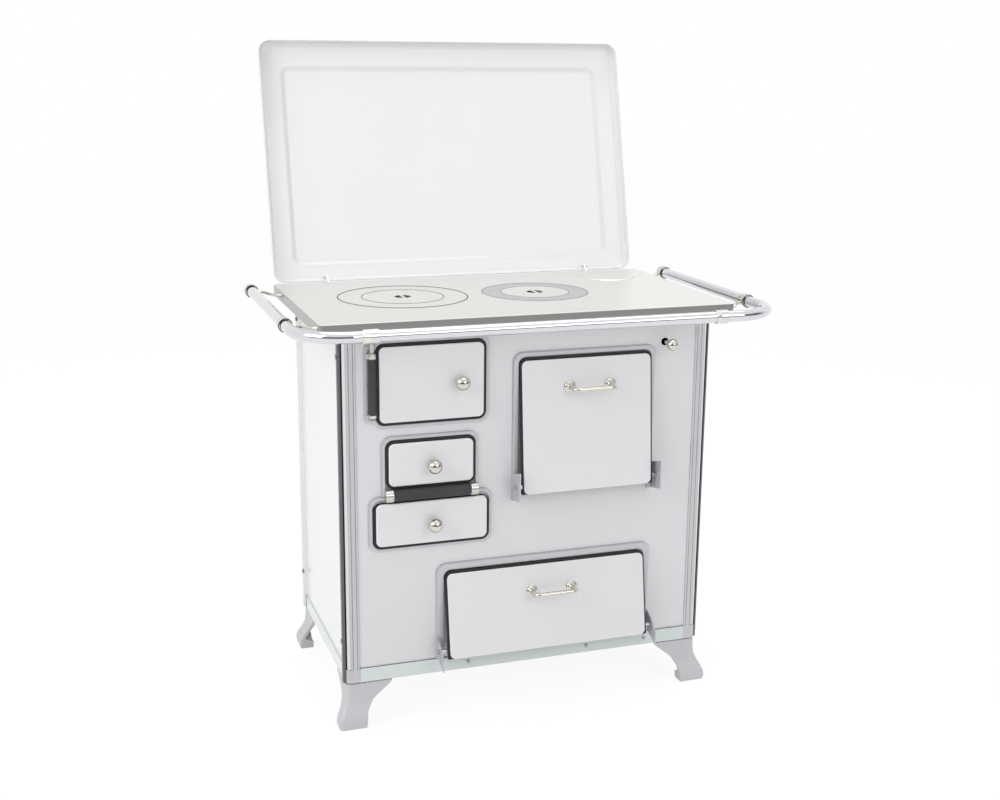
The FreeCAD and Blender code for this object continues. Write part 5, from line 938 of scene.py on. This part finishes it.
def make_sleeve(name, slot, start, end, radius, lips, finish):
    """A collar round the rail with a small lip at each end."""
    shape = bmesh.new()
    length = (end - start).length
    inner, outer = RAIL_BORE * MM, radius * MM
    lip = lips * MM
    profile = [(inner, 0.0), (outer + lip - 0.4 * MM, 0.0), (outer + lip, 0.4 * MM), (outer + lip, 1.8 * MM),
               (outer, 2.4 * MM), (outer, length - 2.4 * MM), (outer + lip, length - 1.8 * MM),
               (outer + lip, length - 0.4 * MM), (outer + lip - 0.4 * MM, length), (inner, length)]
    turned_ring(shape, profile, axis_frame(start, end - start), 48)
    new_piece(name, "root", slot, mesh_from(name, shape), finish=finish)


def make_rail_collars():
    rail_y = (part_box("front_rail")[0].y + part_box("front_rail")[1].y) / 2
    side_low, side_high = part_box("side_rails")
    for side, hand in ((-1, "left"), (1, "right")):
        start, end = (Vector((x * MM, rail_y, RAIL_Z * MM)) for x in FRONT_COLLARS[hand])
        make_sleeve(f"front_collar_{hand}", "nickel", start, end, 13.2, 0.2, "pale_nickel")
        x = side * RAIL_SIDE * MM
        for word, y in (("front", side_low.y), ("rear", side_high.y - REAR_COLLAR_INSET * MM)):
            for number, spot in enumerate((y - RING_APART * MM, y + RING_APART * MM), 1):
                shape = bmesh.new()
                matrix = axis_frame(Vector((x, spot, RAIL_Z * MM)), (0, 1, 0))
                profile = arc_profile(RING_MIDDLE * MM, 0.0, RING_ROUND * MM, 0, 330, 11)
                turned_ring(shape, profile, matrix, 40)
                name = f"{word}_{hand}_collar_ring_{number}"
                new_piece(name, "root", "black_iron", mesh_from(name, shape))


# The base strip's folded upper edge.

def make_strip_fold():
    """Rolled edge and shadow gap along the top of the lip, between the posts."""
    half = (HALF - POST_LEG - 0.6) * MM
    for name, slot, y, z, radius, finish in (
            ("strip_fold", "pale_enamel", cad_front - 2.2 * MM, 119.2 * MM, 1.3 * MM, None),
            ("strip_gap", "grey_iron", cad_front - 0.9 * MM, 120.6 * MM, 0.9 * MM, "shadow_chrome")):
        shape = bmesh.new()
        swept(shape, [Vector((-half, y, z)), Vector((0.0, y, z)), Vector((half, y, z))], radius, 12)
        new_piece(name, "root", slot, mesh_from(name, shape), finish=finish)


# Studio.

def make_floor():
    mesh = bpy.data.meshes.new("floor")
    reach = 14.0
    mesh.from_pydata([(-reach, -reach, 0), (reach, -reach, 0), (reach, reach, 0), (-reach, reach, 0)],
                     [], [(0, 1, 2, 3)])
    floor = bpy.data.objects.new("floor", mesh)
    bpy.context.scene.collection.objects.link(floor)
    material, tree, shader = new_material("studio_floor")
    shader.inputs["Base Color"].default_value = (0.93, 0.93, 0.93, 1.0)
    shader.inputs["Roughness"].default_value = 0.75
    glow = add_node(tree, "ShaderNodeEmission", Color=(1.0, 1.0, 1.0, 1.0), Strength=1.06)
    rays = tree.nodes.new("ShaderNodeLightPath")
    seen = math_node(tree, "MAXIMUM", rays.outputs["Is Camera Ray"],
                     math_node(tree, "MAXIMUM", rays.outputs["Is Glossy Ray"],
                               rays.outputs["Is Transmission Ray"]))
    mixed = tree.nodes.new("ShaderNodeMixShader")
    join(tree, math_node(tree, "MULTIPLY", seen, 0.84), mixed.inputs[0])
    join(tree, shader.outputs[0], mixed.inputs[1])
    join(tree, glow.outputs[0], mixed.inputs[2])
    join(tree, mixed.outputs[0], tree.nodes["Material Output"].inputs["Surface"])
    mesh.materials.append(material)


def make_world():
    """White to the eye and in gloss, with a grey room low in front that bright metal shows."""
    world = bpy.data.worlds.new("studio")
    bpy.context.scene.world = world
    world.use_nodes = True
    tree = world.node_tree
    light = tree.nodes["Background"]
    light.inputs["Color"].default_value = (1.0, 1.0, 1.0, 1.0)
    light.inputs["Strength"].default_value = 0.60
    white = add_node(tree, "ShaderNodeBackground", Color=(1.0, 1.0, 1.0, 1.0), Strength=1.0)
    room = add_node(tree, "ShaderNodeBackground", Color=(0.66, 0.66, 0.74, 1.0), Strength=0.22)
    direction = tree.nodes.new("ShaderNodeSeparateXYZ")
    join(tree, tree.nodes.new("ShaderNodeTexCoord").outputs["Generated"], direction.inputs[0])
    low = spread(tree, direction.outputs["Z"], 0.62, 0.30)
    in_front = spread(tree, direction.outputs["Y"], 0.10, -0.35)
    rays = tree.nodes.new("ShaderNodeLightPath")
    gloss = math_node(tree, "MAXIMUM", rays.outputs["Is Glossy Ray"], rays.outputs["Is Transmission Ray"])
    seen_room = math_node(tree, "MULTIPLY", math_node(tree, "MULTIPLY", low, in_front), gloss)
    backdrop = tree.nodes.new("ShaderNodeMixShader")
    join(tree, seen_room, backdrop.inputs[0])
    join(tree, white.outputs[0], backdrop.inputs[1])
    join(tree, room.outputs[0], backdrop.inputs[2])
    mixed = tree.nodes.new("ShaderNodeMixShader")
    join(tree, math_node(tree, "MAXIMUM", rays.outputs["Is Camera Ray"], gloss), mixed.inputs[0])
    join(tree, light.outputs[0], mixed.inputs[1])
    join(tree, backdrop.outputs[0], mixed.inputs[2])
    join(tree, mixed.outputs[0], tree.nodes["World Output"].inputs["Surface"])


def make_lamp(name, place, target, size, power):
    data = bpy.data.lights.new(name, "AREA")
    data.shape = "RECTANGLE"
    data.size, data.size_y = size
    data.energy = power
    lamp = bpy.data.objects.new(name, data)
    lamp.location = place
    lamp.rotation_euler = (Vector(target) - Vector(place)).to_track_quat("-Z", "Y").to_euler()
    bpy.context.scene.collection.objects.link(lamp)


def make_camera():
    data = bpy.data.cameras.new("camera")
    data.lens = 49.70
    data.sensor_width = 36.0
    camera = bpy.data.objects.new("camera", data)
    place = Vector((-0.8999, -2.6899, 1.2876))
    target = Vector((0.0084, -0.0270, 0.5859))
    aim = (target - place).to_track_quat("-Z", "Y").to_matrix().to_4x4()
    camera.matrix_world = Matrix.Translation(place) @ aim @ Matrix.Rotation(0.009, 4, "Z")
    bpy.context.scene.collection.objects.link(camera)
    bpy.context.scene.camera = camera


make_lid()
make_knobs()
make_handles()
make_legs()
make_posts()
make_screws()
make_joint_lines()
make_fire_hinge()
make_middle_hinge()
make_rail_collars()
make_strip_fold()
make_floor()
make_world()
make_lamp("left_soft_box", (-3.2, -1.2, 2.4), (0.0, 0.0, 0.6), size=(2.4, 2.0), power=44.0)
make_lamp("front_soft_box", (1.4, -3.6, 2.2), (0.0, 0.0, 0.5), size=(2.4, 1.6), power=24.0)
make_lamp("top_soft_box", (0.3, 0.4, 3.6), (0.0, 0.0, 0.8), size=(2.6, 2.6), power=33.0)
make_camera()

scene = bpy.context.scene
scene.view_settings.view_transform = "Standard"
